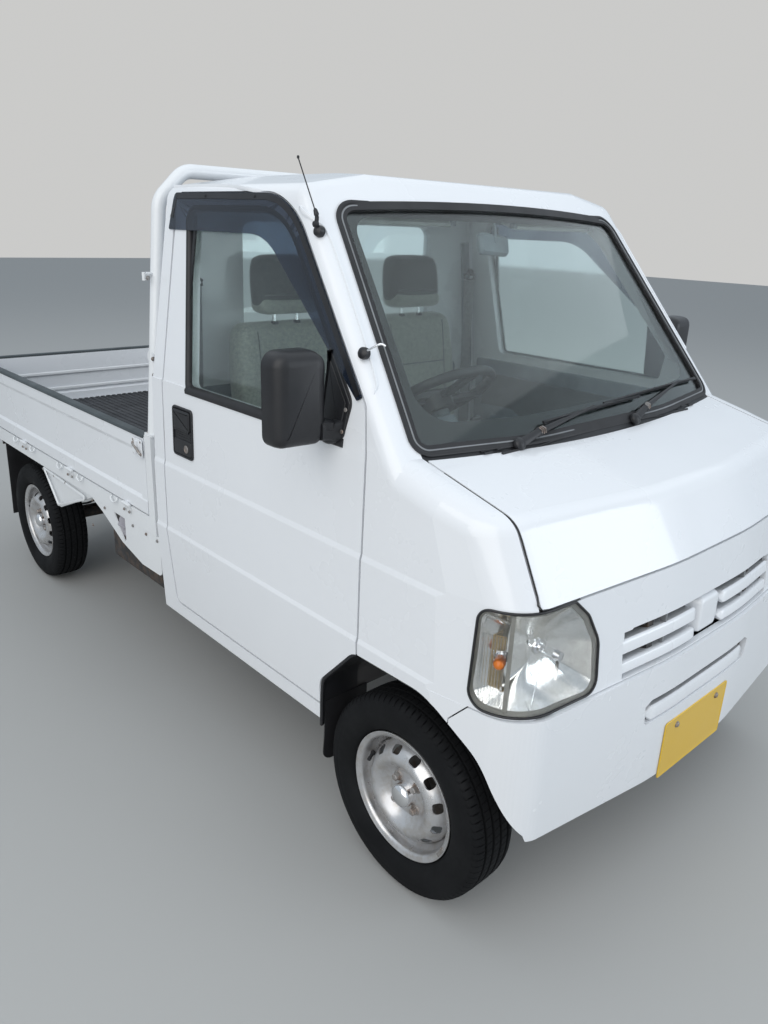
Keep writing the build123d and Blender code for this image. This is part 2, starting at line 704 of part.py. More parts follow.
def make_frame_rails():
    """Ladder frame: two rails with crossmembers and the brackets for springs and engine."""
    side = outline(RAIL_SIDE)
    rail = across(side, -FRAME_X - FRAME_WIDTH / 2, -FRAME_X + FRAME_WIDTH / 2)
    solid = rail + left(rail)
    for y, low, high, width in CROSSMEMBERS:
        solid += box((-FRAME_X, FRAME_X), (y - width / 2, y + width / 2), (low, high))
    for y in (SPRING_FRONT_Y, SPRING_REAR_Y):
        bracket = box((-FRAME_X - 25, -FRAME_X + 25), (y - 22, y + 22), (SPRING_END_Z, REAR_RAIL_Z + 10))
        solid += bracket
        solid += left(bracket)
    nose = box((-FRAME_X - 25, -FRAME_X + 25), (AHEAD_Y, GRILLE_BACK_Y), (FRONT_RAIL_Z, FRONT_RAIL_Z + 70))
    solid += (nose + left(nose)) & lower_cab(NOSE_WALL)
    return solid


def make_bed_deck():
    """Load deck with its side rails, beams, front wall and corner posts."""
    edge = BED_SIDE_X
    solid = box((-edge + GATE_THICK + 6, edge - GATE_THICK - 6), (BED_FRONT_Y, GATE_REAR_Y - GATE_THICK - 6),
                (DECK_Z - DECK_THICK, DECK_Z))
    for side in (-1, 1):
        across_rail = (side * edge, side * (edge - 38))
        solid += box(across_rail, (BED_FRONT_Y, GATE_REAR_Y), (RAIL_Z, GATE_FOOT_Z - 6))
        solid += box(across_rail, (BED_FRONT_Y, BED_FRONT_Y + CORNER_POST), (GATE_FOOT_Z - 10, BED_TOP_Z))
    solid += box((-edge, edge), (GATE_REAR_Y - 38, GATE_REAR_Y), (RAIL_Z, GATE_FOOT_Z - 6))
    solid += box((-edge, edge), (BED_FRONT_Y, BED_FRONT_Y + HEADBOARD), (RAIL_Z, BED_TOP_Z))
    for i in range(DECK_BEAMS):
        y = BED_FRONT_Y + 120 + i * (GATE_REAR_Y - BED_FRONT_Y - 240) / (DECK_BEAMS - 1)
        solid += box((-edge + 36, edge - 36), (y - 20, y + 20), (RAIL_Z + 10, DECK_Z - DECK_THICK + 2))
    for side in (-1, 1):
        x = side * FRAME_X
        solid += box((x - 20, x + 20), (BED_FRONT_Y, GATE_REAR_Y - 36),
                     (REAR_RAIL_Z + 80 + SEAT_GAP, DECK_Z - DECK_THICK))
    for at in SIDE_HINGES:
        solid += hinge_ears(at)
        solid += left(hinge_ears(at))
    return joined([solid] + [at_rear(hinge_ears(at)) for at in TAIL_HINGES])


def hinge_ears(at):
    """Pin between two ears for a hinge on the right side rail, centred at y = at."""
    x = -BED_SIDE_X - HINGE_OFFSET
    solid = rod((x, at - 26, HINGE_Z), (x, at + 26, HINGE_Z), HINGE_PIN_RADIUS)
    for low, high in ((at - 26, at - 12), (at + 12, at + 26)):
        solid += rod((x, low, HINGE_Z), (x, high, HINGE_Z), HINGE_RADIUS)
        solid += box((x, -BED_SIDE_X), (low, high), (HINGE_Z - HINGE_RADIUS - 6, HINGE_Z - 3))
    return solid


def hinge_eye(at):
    """Eye around that pin with its web to the gate's foot."""
    x = -BED_SIDE_X - HINGE_OFFSET
    solid = rod((x, at - 11, HINGE_Z), (x, at + 11, HINGE_Z), HINGE_RADIUS)
    solid += box((x - 2, -BED_SIDE_X + 4), (at - 11, at + 11), (HINGE_Z + 3, HINGE_Z + 8))
    return solid - rod((x, at - 12, HINGE_Z), (x, at + 12, HINGE_Z), HINGE_PIN_RADIUS + RUNNING_GAP)


def at_rear(solid):
    """A right-side hinge piece turned to the bed's rear edge, its y becoming x."""
    return Pos(0, GATE_REAR_Y - BED_SIDE_X, 0) * Rot(0, 0, -90) * solid


def make_gate(length):
    """Side gate profile seen from the rear, extruded forward from its rear end."""
    x = -BED_SIDE_X
    face = outline([
        (x, GATE_FOOT_Z, 0), (x, 700, 0), (x + 7, 712, 0), (x + 7, 862, 0), (x, 876, 0), (x, BED_TOP_Z - 8, 6),
        (x + GATE_THICK, BED_TOP_Z - 8, 6), (x + GATE_THICK, 830, 0), (x + GATE_THICK - 8, 822, 0),
        (x + GATE_THICK - 8, 730, 0), (x + GATE_THICK, 722, 0), (x + GATE_THICK, GATE_FOOT_Z, 0),
    ])
    solid = along(face, GATE_END_Y - length, GATE_END_Y)
    for end in (GATE_END_Y - length, GATE_END_Y - 40):
        solid += box((x + 2, x + GATE_THICK - 2), (end, end + 40), (GATE_FOOT_Z + 20, BED_TOP_Z - 20))
    return solid


def make_side_gate():
    """Right side gate."""
    front = BED_FRONT_Y + CORNER_POST + SHUT_GAP
    return joined([make_gate(GATE_END_Y - front)] + [hinge_eye(at) for at in SIDE_HINGES])


def make_tailgate():
    """Tailgate, with the side gates' profile turned across the rear."""
    y = GATE_REAR_Y
    face = outline([
        (y, GATE_FOOT_Z, 0), (y, 700, 0), (y - 7, 712, 0), (y - 7, 862, 0), (y, 876, 0), (y, BED_TOP_Z - 8, 6),
        (y - GATE_THICK, BED_TOP_Z - 8, 6), (y - GATE_THICK, 830, 0), (y - GATE_THICK + 8, 822, 0),
        (y - GATE_THICK + 8, 730, 0), (y - GATE_THICK, 722, 0), (y - GATE_THICK, GATE_FOOT_Z, 0),
    ])
    solid = across(face, -BED_SIDE_X, BED_SIDE_X)
    for low in (-BED_SIDE_X, BED_SIDE_X - 40):
        solid += box((low, low + 40), (y - GATE_THICK + 2, y - 2), (GATE_FOOT_Z + 20, BED_TOP_Z - 20))
    return joined([solid] + [at_rear(hinge_eye(at)) for at in TAIL_HINGES])


def make_guard_frame():
    """Tube frame behind the cab, standing on the bed's front wall."""
    y = GUARD_Y
    foot = Vector(-BED_SIDE_X + 24, y, BED_TOP_Z + 3)
    knee = Vector(-646, y, 1640)
    top = GUARD_TOP_Z - GUARD_RADIUS
    path = FilletPolyline(foot, knee, Vector(-560, y, top), Vector(560, y, top), Vector(646, y, 1640),
                          Vector(-foot.X, y, foot.Z), radius=70)
    solid = sweep(Plane(origin=path @ 0, z_dir=path % 0) * Circle(GUARD_RADIUS), path=path)
    solid += rod((-704, y, GUARD_RAIL_Z), (704, y, GUARD_RAIL_Z), GUARD_RADIUS - 1)
    for x in (-250, 250):
        solid += rod((x, y, BED_TOP_Z + SEAT_GAP), (x, y, GUARD_RAIL_Z), 12)
    for side in (-1, 1):
        solid += box((side * 690, side * 728), (y - 24, y + 28), (BED_TOP_Z + SEAT_GAP, BED_TOP_Z + 7))
        hook = rod((side * 664, y, 1430), (side * 712, y - 8, 1430), 6)
        hook += rod((side * 712, y - 8, 1436), (side * 712, y - 8, 1412), 6)
        solid += hook
    return solid - box((-REACH, REACH), (y - 60, y + 60), (800, BED_TOP_Z + SEAT_GAP))


def make_side_aprons():
    """Plates under the bed's side rails, ahead of the fuel filler and of the rear wheels."""
    y = BED_FRONT_Y
    front = across(outline([
        (y - 17, RAIL_Z, 0), (y - 17, 450, 20), (y + 128, 447, 30), (y + 280, 482, 60),
        (y + 435, 553, 60), (y + 540, RAIL_Z, 0),
    ]), -728, -724)
    front -= across(outline([(y + 336, 582, 4), (y + 246, 582, 4), (y + 246, 496, 10), (y + 262, 494, 10)]), -REACH, 0)
    y = REAR_AXLE_Y
    rear = across(outline([
        (y - 218.5, RAIL_Z, 0), (y - 738.5, RAIL_Z, 0), (y - 360.5, 438, 12), (y - 318.5, 440, 12),
    ]), -718, -714)
    guard = box((-714, -470), (y - 292.5, y - 288.5), (470, RAIL_Z))
    rear += guard
    return both_sides(front), both_sides(rear)


def make_engine():
    """Plain block for the engine and gearbox, hung between two crossmembers."""
    return box((-215, 215), ENGINE_Y, (285, REAR_RAIL_Z + 80))


def make_fuel_tank():
    """Fuel tank beside the right rail with its filler neck and cap."""
    y = BED_FRONT_Y + 278
    solid = box((-640, -FRAME_X - FRAME_WIDTH / 2), (y - 118, y + 282), (300, 530))
    solid = solid.fillet(30, solid.edges().filter_by(Axis.Y))
    neck = rod((-600, y, 500), (-704, y, 543), 24)
    cap = rod((-700, y, 543), (-721, y, 543), 38)
    return solid + neck + cap


def make_exhaust():
    """Silencer across the frame with its pipe from the engine and its tail pipe."""
    y = SILENCER_Y
    solid = rod((-190, y, 385), (190, y, 385), 66)
    path = FilletPolyline((120, ENGINE_Y[1] + SEAT_GAP, 340), (120, ENGINE_Y[1] + 80, 340),
                          (120, ENGINE_Y[1] + 150, 385), (120, y - 40, 385), radius=30)
    solid += sweep(Plane(origin=path @ 0, z_dir=path % 0) * Circle(20), path=path)
    solid += rod((-130, y, 385), (-130, y + 240, 372), 20)
    for x in (-140, 140):
        solid += box((x - 10, x + 10), (y - 10, y + 10), (440, REAR_RAIL_Z - SEAT_GAP))
    return solid


def make_rear_axle():
    """Rear axle beam with drums' backing plates and spindles."""
    y, z = REAR_AXLE_Y, TYRE_RADIUS
    solid = rod((-SHOULDER_X, y, z), (SHOULDER_X, y, z), 30)
    solid += rod((-70, y, z), (70, y, z), 88)
    for side in (-1, 1):
        solid += rod((side * 588, y, z), (side * 600, y, z), 100)
        solid += rod((side * 560, y, z), (side * SPINDLE_X, y, z), SPINDLE_RADIUS)
        x = side * FRAME_X
        solid += box((x - 30, x + 30), (y - 50, y + 50), (z + 22, SPRING_PAD_Z))
    return solid


def make_leaf_spring():
    """Right leaf spring pack, from eye to eye over the axle's pad."""
    middle_y = REAR_AXLE_Y
    half = (SPRING_REAR_Y - SPRING_FRONT_Y) / 2
    corners = []
    for height in (0, 20):
        arc = [(middle_y + half * t / 4, SPRING_PAD_Z + SEAT_GAP + height * (2 - abs(t) / 4) / 2 +
                (SPRING_EYE_Z - SPRING_PAD_Z) * (t / 4) ** 2, 0) for t in range(-4, 5)]
        corners += arc if height == 0 else arc[::-1]
    return across(outline(corners), -FRAME_X - 22, -FRAME_X + 22)


def make_front_strut():
    """Right strut with its top plate and the arm that carries the kingpin's upper end."""
    x, y = -STRUT_X, FRONT_AXLE_Y
    top = front_housing_height(y)
    solid = rod((x, y, UPPER_BOSS_Z - 12), (x, y, 480), 24)
    solid += rod((x, y, 480), (x, y, top - 4), 14)
    plate = box((x - 55, x + 55), (y - 55, y + 55), (top - 20, top + 20))
    solid += plate & across(inset(outline(ARCH), SEAT_GAP), -REACH, 0)
    solid += box((-KINGPIN_X, x), (y - 18, y + 18), (UPPER_BOSS_Z - 12, UPPER_BOSS_Z + 12))
    solid += Pos(-KINGPIN_X, y, UPPER_BOSS_Z) * Cylinder(22, 24)
    solid -= Pos(-KINGPIN_X, y, UPPER_BOSS_Z) * Cylinder(KINGPIN_RADIUS + RUNNING_GAP, 30)
    return solid


def front_housing_height(y):
    """Height of the wheel housing's roof at y."""
    (y_rear, z_rear), (y_front, z_front) = ARCH[2][:2], ARCH[3][:2]
    return z_rear + (z_front - z_rear) * (y - y_rear) / (y_front - y_rear)


def make_front_crossmember():
    """Front crossmember under the rails with the lower arms and the steering rack."""
    y = FRONT_AXLE_Y
    solid = box((-FRAME_X - 20, FRAME_X + 20), (y - 30, y + 30), (250, FRONT_RAIL_Z))
    solid += rod((-330, y + 60, 270), (330, y + 60, 270), 18)
    solid += box((-40, 40), (y, y + 70), (256, 284))
    arm = along(outline([
        (-FRAME_X, 250, 0), (-FRAME_X, 290, 0), (-KINGPIN_X + 30, LOWER_BOSS_Z + 10, 0),
        (-KINGPIN_X, LOWER_BOSS_Z + 10, 0), (-KINGPIN_X, LOWER_BOSS_Z - 10, 0),
    ]), y - 18, y + 18)
    arm += Pos(-KINGPIN_X, y, LOWER_BOSS_Z) * Cylinder(22, 24)
    arm -= Pos(-KINGPIN_X, y, LOWER_BOSS_Z) * Cylinder(KINGPIN_RADIUS + RUNNING_GAP, 30)
    return solid + arm + left(arm)


def make_knuckle():
    """Right steering knuckle with its kingpin ends and spindle."""
    y, z = FRONT_AXLE_Y, TYRE_RADIUS
    low = LOWER_BOSS_Z + 12 + SEAT_GAP
    high = UPPER_BOSS_Z - 12 - SEAT_GAP
    solid = Pos(-KINGPIN_X, y, (low + high) / 2) * Cylinder(20, high - low)
    solid += Pos(-KINGPIN_X, y, z) * Cylinder(KINGPIN_RADIUS, UPPER_BOSS_Z - LOWER_BOSS_Z + 24)
    solid += rod((-KINGPIN_X, y, z), (-SHOULDER_X, y, z), 28)
    solid += rod((-620, y, z), (-625, y, z), 98)
    solid += rod((-KINGPIN_X, y, z), (-SPINDLE_X, y, z), SPINDLE_RADIUS)
    return solid


def make_rim(y):
    """Right wheel disc, rim and hub for the axle at y."""
    inner, outer = WHEEL_X - RIM_WIDTH / 2, WHEEL_X + RIM_WIDTH / 2
    wheel = revolve(Plane.XY * outline([
        (inner, RIM_RADIUS, 0), (inner + 7, RIM_RADIUS, 0), (inner + 9, RIM_SEAT, 0), (inner + 34, RIM_SEAT - 3, 0),
        (inner + 42, RIM_WELL, 0), (outer - 40, RIM_WELL, 0), (outer - 32, RIM_SEAT - 3, 0), (outer - 9, RIM_SEAT, 0),
        (outer - 7, RIM_RADIUS, 0), (outer, RIM_RADIUS, 0), (outer, RIM_RADIUS - 4, 0), (outer - 4, RIM_SEAT - 6, 0),
        (outer - 28, RIM_SEAT - 10, 0), (outer - 37, RIM_WELL - 4, 0), (inner + 39, RIM_WELL - 4, 0),
        (inner + 30, RIM_SEAT - 9, 0), (inner + 4, RIM_SEAT - 6, 0), (inner, RIM_RADIUS - 4, 0),
    ]), Axis.X)
    disc = revolve(Plane.XY * outline([
        (HUB_FACE_X - 46, SPINDLE_RADIUS + RUNNING_GAP, 0), (HUB_FACE_X - 46, 32, 0), (HUB_FACE_X - 14, 34, 0),
        (HUB_FACE_X - 14, 62, 0), (HUB_FACE_X - 4, 64, 0), (HUB_FACE_X + 4, 92, 0), (HUB_FACE_X + 6, 106, 10),
        (HUB_FACE_X - 2, 120, 0), (HUB_FACE_X - 34, RIM_WELL - 3, 0), (HUB_FACE_X - 29, RIM_WELL - 1, 0),
        (HUB_FACE_X + 2, 124, 0), (HUB_FACE_X + 11, 107, 10), (HUB_FACE_X + 9, 90, 0), (HUB_FACE_X + 1, 62, 0),
        (HUB_FACE_X + 1, 34, 0), (HUB_FACE_X + 12, 30, 0), (HUB_FACE_X + 12, SPINDLE_RADIUS + RUNNING_GAP, 0),
    ]), Axis.X)
    for i in range(HAND_HOLES):
        hole = Rot(360 / HAND_HOLES * i, 0, 0) * Pos(HUB_FACE_X, 0, 106) * Box(60, 22, 19)
        disc -= hole
    return Pos(0, y, TYRE_RADIUS) * mirror(wheel + disc, about=Plane.YZ)


def make_tyre(y):
    """Right tyre for the axle at y."""
    half = TYRE_WIDTH / 2
    bead = RIM_WIDTH / 2 - 9
    profile = outline([
        (WHEEL_X - bead, RIM_SEAT + SEAT_GAP, 0), (WHEEL_X - bead - 1, RIM_RADIUS + 2, 0),
        (WHEEL_X - half, RIM_RADIUS + 20, 20), (WHEEL_X - half, RIM_RADIUS + 58, 20),
        (WHEEL_X - half + 6, TYRE_RADIUS - 14, 0), (WHEEL_X - half + 14, TYRE_RADIUS - 4, 0),
        (WHEEL_X - 30, TYRE_RADIUS, 0), (WHEEL_X + 30, TYRE_RADIUS, 0),
        (WHEEL_X + half - 14, TYRE_RADIUS - 4, 0), (WHEEL_X + half - 6, TYRE_RADIUS - 14, 0),
        (WHEEL_X + half, RIM_RADIUS + 58, 20), (WHEEL_X + half, RIM_RADIUS + 20, 20),
        (WHEEL_X + bead + 1, RIM_RADIUS + 2, 0), (WHEEL_X + bead, RIM_SEAT + SEAT_GAP, 0),
    ])
    tyre = revolve(Plane.XY * profile, Axis.X)
    return Pos(0, y, TYRE_RADIUS) * mirror(tyre, about=Plane.YZ)


def make_tail_lamp():
    """Right rear lamp, hung under the bed's rear rail."""
    outer = -BED_SIDE_X + 91
    return box((outer, outer + 220), (REAR_Y - 36, REAR_Y), (RAIL_Z - 86, RAIL_Z - 6))


def make_rear_bumper():
    """Rear crossbar under the bed that carries the lamps."""
    half = BED_SIDE_X - 81
    return box((-half, half), (RAIL_END_Y + SEAT_GAP, REAR_Y - 36), (RAIL_Z - 90, RAIL_Z - SEAT_GAP))


def save(name, shape):
    """Write one node's file."""
    export_step(shape, f"parts/{name}.step")


def main():
    os.makedirs("parts", exist_ok=True)
    screen_glass = make_windscreen()
    door_glass = make_door_glass()
    front_apron, rear_apron = make_side_aprons()
    nodes = {
        "cab_shell": make_cab_shell(),
        "cab_floor": make_cab_floor(),
        "front_fenders": make_fenders(),
        "cowl": make_cowl(),
        "front_bumper": make_bumper(),
        "grille_panel": make_grille(),
        "hood": make_hood(),
        "windscreen": screen_glass,
        "windscreen_seal": make_windscreen_seal(screen_glass),
        "rear_window": make_rear_glass(),
        "dashboard": make_dashboard(),
        "steering_wheel": make_steering_wheel(),
        "radiator": make_radiator(),
        "seat_right": make_seat(-310),
        "seat_left": make_seat(245),
        "frame_rails": make_frame_rails(),
        "bed_deck": make_bed_deck(),
        "tailgate": make_tailgate(),
        "guard_frame": make_guard_frame(),
        "side_aprons": front_apron,
        "rear_mudguards": rear_apron,
        "engine_block": make_engine(),
        "fuel_tank": make_fuel_tank(),
        "exhaust": make_exhaust(),
        "rear_axle": make_rear_axle(),
        "leaf_springs": both_sides(make_leaf_spring()),
        "front_struts": both_sides(make_front_strut()),
        "front_crossmember": make_front_crossmember(),
        "headlamps": both_sides(make_headlamp()),
        "headlamp_lenses": both_sides(make_headlamp_lens()),
        "tail_lamps": both_sides(make_tail_lamp()),
        "rear_bumper": make_rear_bumper(),
    }
    pairs = {
        "door": make_door(door_glass),
        "door_glass": door_glass,
        "visor": make_visor(),
        "mirror": make_mirror(),
        "side_gate": make_side_gate(),
        "knuckle": make_knuckle(),
        "front_rim": make_rim(FRONT_AXLE_Y),
        "rear_rim": make_rim(REAR_AXLE_Y),
        "front_tyre": make_tyre(FRONT_AXLE_Y),
        "rear_tyre": make_tyre(REAR_AXLE_Y),
    }
    for name, shape in nodes.items():
        save(name, shape)
    for name, shape in pairs.items():
        save(name + "_right", shape)
        save(name + "_left", left(shape))


if __name__ == "__main__":
    main()
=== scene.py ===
import json
import math
import bmesh
import bpy
from mathutils import Matrix, Vector
from mathutils.bvhtree import BVHTree


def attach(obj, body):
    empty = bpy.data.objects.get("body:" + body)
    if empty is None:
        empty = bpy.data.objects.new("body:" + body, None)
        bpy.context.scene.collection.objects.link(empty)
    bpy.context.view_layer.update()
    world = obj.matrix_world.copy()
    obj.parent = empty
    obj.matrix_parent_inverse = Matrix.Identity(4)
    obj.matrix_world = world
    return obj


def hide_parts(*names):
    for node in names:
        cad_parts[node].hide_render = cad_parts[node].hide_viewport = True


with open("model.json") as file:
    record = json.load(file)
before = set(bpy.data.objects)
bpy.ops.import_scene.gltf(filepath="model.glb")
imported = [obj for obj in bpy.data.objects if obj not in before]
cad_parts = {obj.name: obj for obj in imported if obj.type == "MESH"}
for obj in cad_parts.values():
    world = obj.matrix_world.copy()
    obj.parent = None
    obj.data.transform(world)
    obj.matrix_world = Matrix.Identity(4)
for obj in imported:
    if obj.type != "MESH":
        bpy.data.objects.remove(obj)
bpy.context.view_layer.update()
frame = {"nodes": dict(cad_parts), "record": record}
NODES = frame["nodes"]

# Sizes in millimetres, as in the part; pieces are scaled to metres as they are made
MM = 0.001
FRONT_Y = -1697.5
FRONT_AXLE_Y = -1309.5
REAR_AXLE_Y = 1110.5
AXLE_Z = 265
WHEEL_X = 642
HUB_FACE_X = 684
DOOR_INNER = 42
SCREEN_FOOT = (-1332, 1100)
SCREEN_HEAD = (-893, 1650)
SCREEN_BOW = 36
SCREEN_BOW_HALF = 640
BOWL = (-574, -1668, 762)
STEERING_CENTRE = (-300, -960, 1150)
STEERING_TILT = 54
FLOOR_Z = 412
GATE_FRONT_Y = -91
GATE_REAR_Y = 1647
TAIL_Y = 1662
OUTSIDE_X = -1200
ABOVE_Z = 1400
LAMP_CENTRE = (596, -1560, 762)
LAMP_CORE_X = 560
LAMP_CORE_Y = -1500
SEAT_BACK_FOOT = 700
SEAT_BACK_HEIGHT = 590
SEAT_BACK_LEAN = 82
SEAT_BACK_ROWS = (880, 1000, 1120)
CUSHION_SEAM = 148
BACK_SEAM = 132
SIMULATION_FRAMES = 20
MOVE_LIMIT = 0.016
FINE_WELD = 2e-6
CAD_WELD = 2e-5
HINGES = (60, 560, 1060, 1540)
HOOKS = (160, 460, 660, 960, 1160, 1440)
WINDOW = [(-378, 1127, 22), (-305, 1618, 35), (-768, 1618, 215), (-1098, 1215, 25), (-1080, 1127, 22)]
SCREEN = [(664, 56, 45), (582, 712, 62), (-582, 712, 62), (-664, 56, 45), (-290, 14, 1800), (290, 14, 1800)]
SIDES = (("right", -1), ("left", 1))


# Materials

def material(name, colour, roughness=0.5, metallic=0.0, **sockets):
    """Principled material; sockets are set by name with underscores for spaces."""
    made = bpy.data.materials.new(name)
    made.use_nodes = True
    shader = made.node_tree.nodes["Principled BSDF"]
    shader.inputs["Base Color"].default_value = (*colour, 1)
    shader.inputs["Roughness"].default_value = roughness
    shader.inputs["Metallic"].default_value = metallic
    for socket, value in sockets.items():
        shader.inputs[socket.replace("_", " ")].default_value = value
    made.diffuse_color = (*colour, 1)
    return made


def node(made, kind, **values):
    """New node in a material, with its properties and inputs set by name."""
    added = made.node_tree.nodes.new(kind)
    for key, value in values.items():
        if hasattr(added, key):
            setattr(added, key, value)
        else:
            added.inputs[key.replace("_", " ")].default_value = value
    return added


def link(made, source, output, target, socket):
    """Link between two nodes of a material."""
    made.node_tree.links.new(source.outputs[output], target.inputs[socket])


def shader_of(made):
    """A material's shader node."""
    return made.node_tree.nodes["Principled BSDF"]


def noise(made, scale, detail=4, roughness=0.5, stretch=None):
    """Noise over object coordinates, which stay with a piece as it moves; stretch scales each axis."""
    texture = node(made, "ShaderNodeTexNoise", Scale=scale, Detail=detail, Roughness=roughness)
    coordinates = node(made, "ShaderNodeTexCoord")
    if stretch is None:
        link(made, coordinates, "Object", texture, "Vector")
        return texture
    mapping = node(made, "ShaderNodeMapping")
    mapping.inputs["Scale"].default_value = stretch
    link(made, coordinates, "Object", mapping, "Vector")
    link(made, mapping, "Vector", texture, "Vector")
    return texture


def ramp(made, source, stops):
    """Colour ramp over a texture's value, from stops of (position, colour)."""
    added = node(made, "ShaderNodeValToRGB")
    while len(added.color_ramp.elements) < len(stops):
        added.color_ramp.elements.new(0.5)
    for element, (position, colour) in zip(added.color_ramp.elements, stops):
        element.position = position
        element.color = (*colour, 1)
    link(made, source, "Fac", added, "Fac")
    return added


def grey(value):
    """Colour without a hue."""
    return (min(value, 1),) * 3


def bump(made, source, output, strength, distance):
    """Bump from a value, linked to the shader's normal."""
    added = node(made, "ShaderNodeBump", Strength=strength, Distance=distance)
    link(made, source, output, added, "Height")
    link(made, added, "Normal", shader_of(made), "Normal")


def paint(name, colour, dirt, roughness=0.28, low=0.3, high=0.66, amount=0.5):
    """Glossy paint, dusty in patches and soiled toward the ground."""
    made = material(name, colour, roughness, Coat_Weight=0.6, Coat_Roughness=0.06)
    shader = shader_of(made)
    patches = noise(made, 2.2, 5, 0.6)
    clean = ramp(made, patches, [(0.3, [c * 0.98 for c in colour]), (0.7, colour)])
    streaks = noise(made, 9, 8, 0.7, (1, 1, 0.35))
    soil = ramp(made, streaks, [(0.35, dirt), (0.65, [(a + b) / 2 for a, b in zip(dirt, colour)])])
    coordinates = node(made, "ShaderNodeTexCoord")
    split = node(made, "ShaderNodeSeparateXYZ")
    link(made, coordinates, "Object", split, "Vector")
    height = node(made, "ShaderNodeMapRange", From_Min=low, From_Max=high, To_Min=amount, To_Max=0.0)
    link(made, split, "Z", height, "Value")
    spread = node(made, "ShaderNodeMath", operation="MULTIPLY")
    link(made, height, "Result", spread, 0)
    link(made, streaks, "Fac", spread, 1)
    colours = node(made, "ShaderNodeMix", data_type="RGBA")
    link(made, spread, "Value", colours, "Factor")
    link(made, clean, "Color", colours, "A")
    link(made, soil, "Color", colours, "B")
    link(made, colours, "Result", shader, "Base Color")
    dull = ramp(made, patches, [(0.35, grey(roughness * 0.8)), (0.7, grey(roughness * 1.35))])
    link(made, dull, "Color", shader, "Roughness")
    bump(made, noise(made, 120, 2), "Fac", 0.03, 0.0004)
    return made


def plastic(name, colour, roughness, grain=420, depth=0.25):
    """Moulded plastic or rubber with a fine grain and slight fading."""
    made = material(name, colour, roughness)
    shader = shader_of(made)
    fading = ramp(made, noise(made, 7, 6, 0.65),
                  [(0.3, [c * 0.75 for c in colour]), (0.75, [c * 1.35 for c in colour])])
    link(made, fading, "Color", shader, "Base Color")
    worn = ramp(made, noise(made, 11, 4), [(0.3, grey(roughness * 0.85)), (0.7, grey(roughness * 1.2))])
    link(made, worn, "Color", shader, "Roughness")
    bump(made, noise(made, grain, 3), "Fac", depth, 0.0006)
    return made


def metal(name, colour, roughness, metallic=1.0, wear=(0.3, 0.25, 0.2), amount=0.35):
    """Metal with smudges and patches of wear."""
    made = material(name, colour, roughness, metallic)
    shader = shader_of(made)
    spots = noise(made, 34, 8, 0.7)
    tint = [a * (1 - amount) + b * amount for a, b in zip(colour, wear)]
    link(made, ramp(made, spots, [(0.36, tint), (0.56, colour)]), "Color", shader, "Base Color")
    dull = ramp(made, noise(made, 18, 6), [(0.3, grey(roughness * 0.7)), (0.75, grey(roughness * 1.5))])
    link(made, dull, "Color", shader, "Roughness")
    bump(made, spots, "Fac", 0.1, 0.0006)
    return made


def glass(name, colour, roughness=0.02, weight=1.0):
    """Clear glass with a faint film of dust."""
    made = material(name, colour, roughness, Transmission_Weight=weight, IOR=1.45)
    film = ramp(made, noise(made, 5, 6, 0.7), [(0.4, grey(roughness)), (0.8, grey(roughness + 0.05))])
    link(made, film, "Color", shader_of(made), "Roughness")
    return made


def woven(name, colour, dark, scale=140):
    """Cloth with a two-way weave and mottled colour."""
    made = material(name, colour, 0.92, Sheen_Weight=0.35, Sheen_Roughness=0.5)
    tone = ramp(made, noise(made, 90, 6, 0.8), [(0.35, dark), (0.65, colour)])
    link(made, tone, "Color", shader_of(made), "Base Color")
    coordinates = node(made, "ShaderNodeTexCoord")
    warp = node(made, "ShaderNodeTexWave", wave_type="BANDS", bands_direction="X", Scale=scale)
    weft = node(made, "ShaderNodeTexWave", wave_type="BANDS", bands_direction="Z", Scale=scale)
    link(made, coordinates, "Object", warp, "Vector")
    link(made, coordinates, "Object", weft, "Vector")
    both = node(made, "ShaderNodeMath", operation="MAXIMUM")
    link(made, warp, "Fac", both, 0)
    link(made, weft, "Fac", both, 1)
    bump(made, both, "Value", 0.3, 0.0008)
    return made


WHITE = paint("white_paint", (0.80, 0.82, 0.85), (0.42, 0.37, 0.30), amount=0.14)
BED_WHITE = paint("bed_paint", (0.79, 0.81, 0.83), (0.42, 0.38, 0.32), 0.36, 0.3, 0.7, 0.22)
# Near-black paint of the cab floor and its wheel housings: partly their own black coat, partly painted shade
# of the dark wheel housings.
UNDERSIDE_AND_SHADE = paint("underside_paint_and_shade", (0.06, 0.06, 0.065), (0.12, 0.1, 0.08), 0.6, 0.2, 1.1)
CHASSIS = metal("chassis_paint", (0.035, 0.035, 0.037), 0.6, 0.1, (0.16, 0.1, 0.06), 0.5)
SILVER = metal("silver_paint", (0.6, 0.6, 0.61), 0.32, 0.8, (0.42, 0.38, 0.33), 0.5)
CHROME = metal("chrome", (0.82, 0.82, 0.83), 0.12, 1.0, (0.5, 0.5, 0.5), 0.2)
CAST = metal("cast_metal", (0.2, 0.2, 0.21), 0.7, 0.7, (0.25, 0.15, 0.1), 0.5)
STEEL = metal("bare_steel", (0.4, 0.39, 0.38), 0.5, 0.9, (0.28, 0.15, 0.08), 0.6)
BLACK = plastic("black_plastic", (0.013, 0.0135, 0.016), 0.42)
DASH = plastic("dash_plastic", (0.15, 0.175, 0.19), 0.7, 300, 0.4)
TRIM = plastic("trim_plastic", (0.21, 0.24, 0.27), 0.65, 350, 0.3)
PALE = plastic("pale_plastic", (0.5, 0.52, 0.5), 0.55, 300, 0.2)
GREY = plastic("grey_plastic", (0.2, 0.21, 0.22), 0.5)
SEAL = plastic("seal_rubber", (0.014, 0.014, 0.016), 0.5, 260, 0.3)
TYRE = plastic("tyre_rubber", (0.006, 0.0065, 0.0075), 0.78, 240, 0.25)
shader_of(TYRE).inputs["Specular IOR Level"].default_value = 0.2
MAT = plastic("mat_rubber", (0.03, 0.032, 0.037), 0.7, 200, 0.4)
CAP = plastic("cap_rubber", (0.05, 0.062, 0.068), 0.6, 220, 0.3)
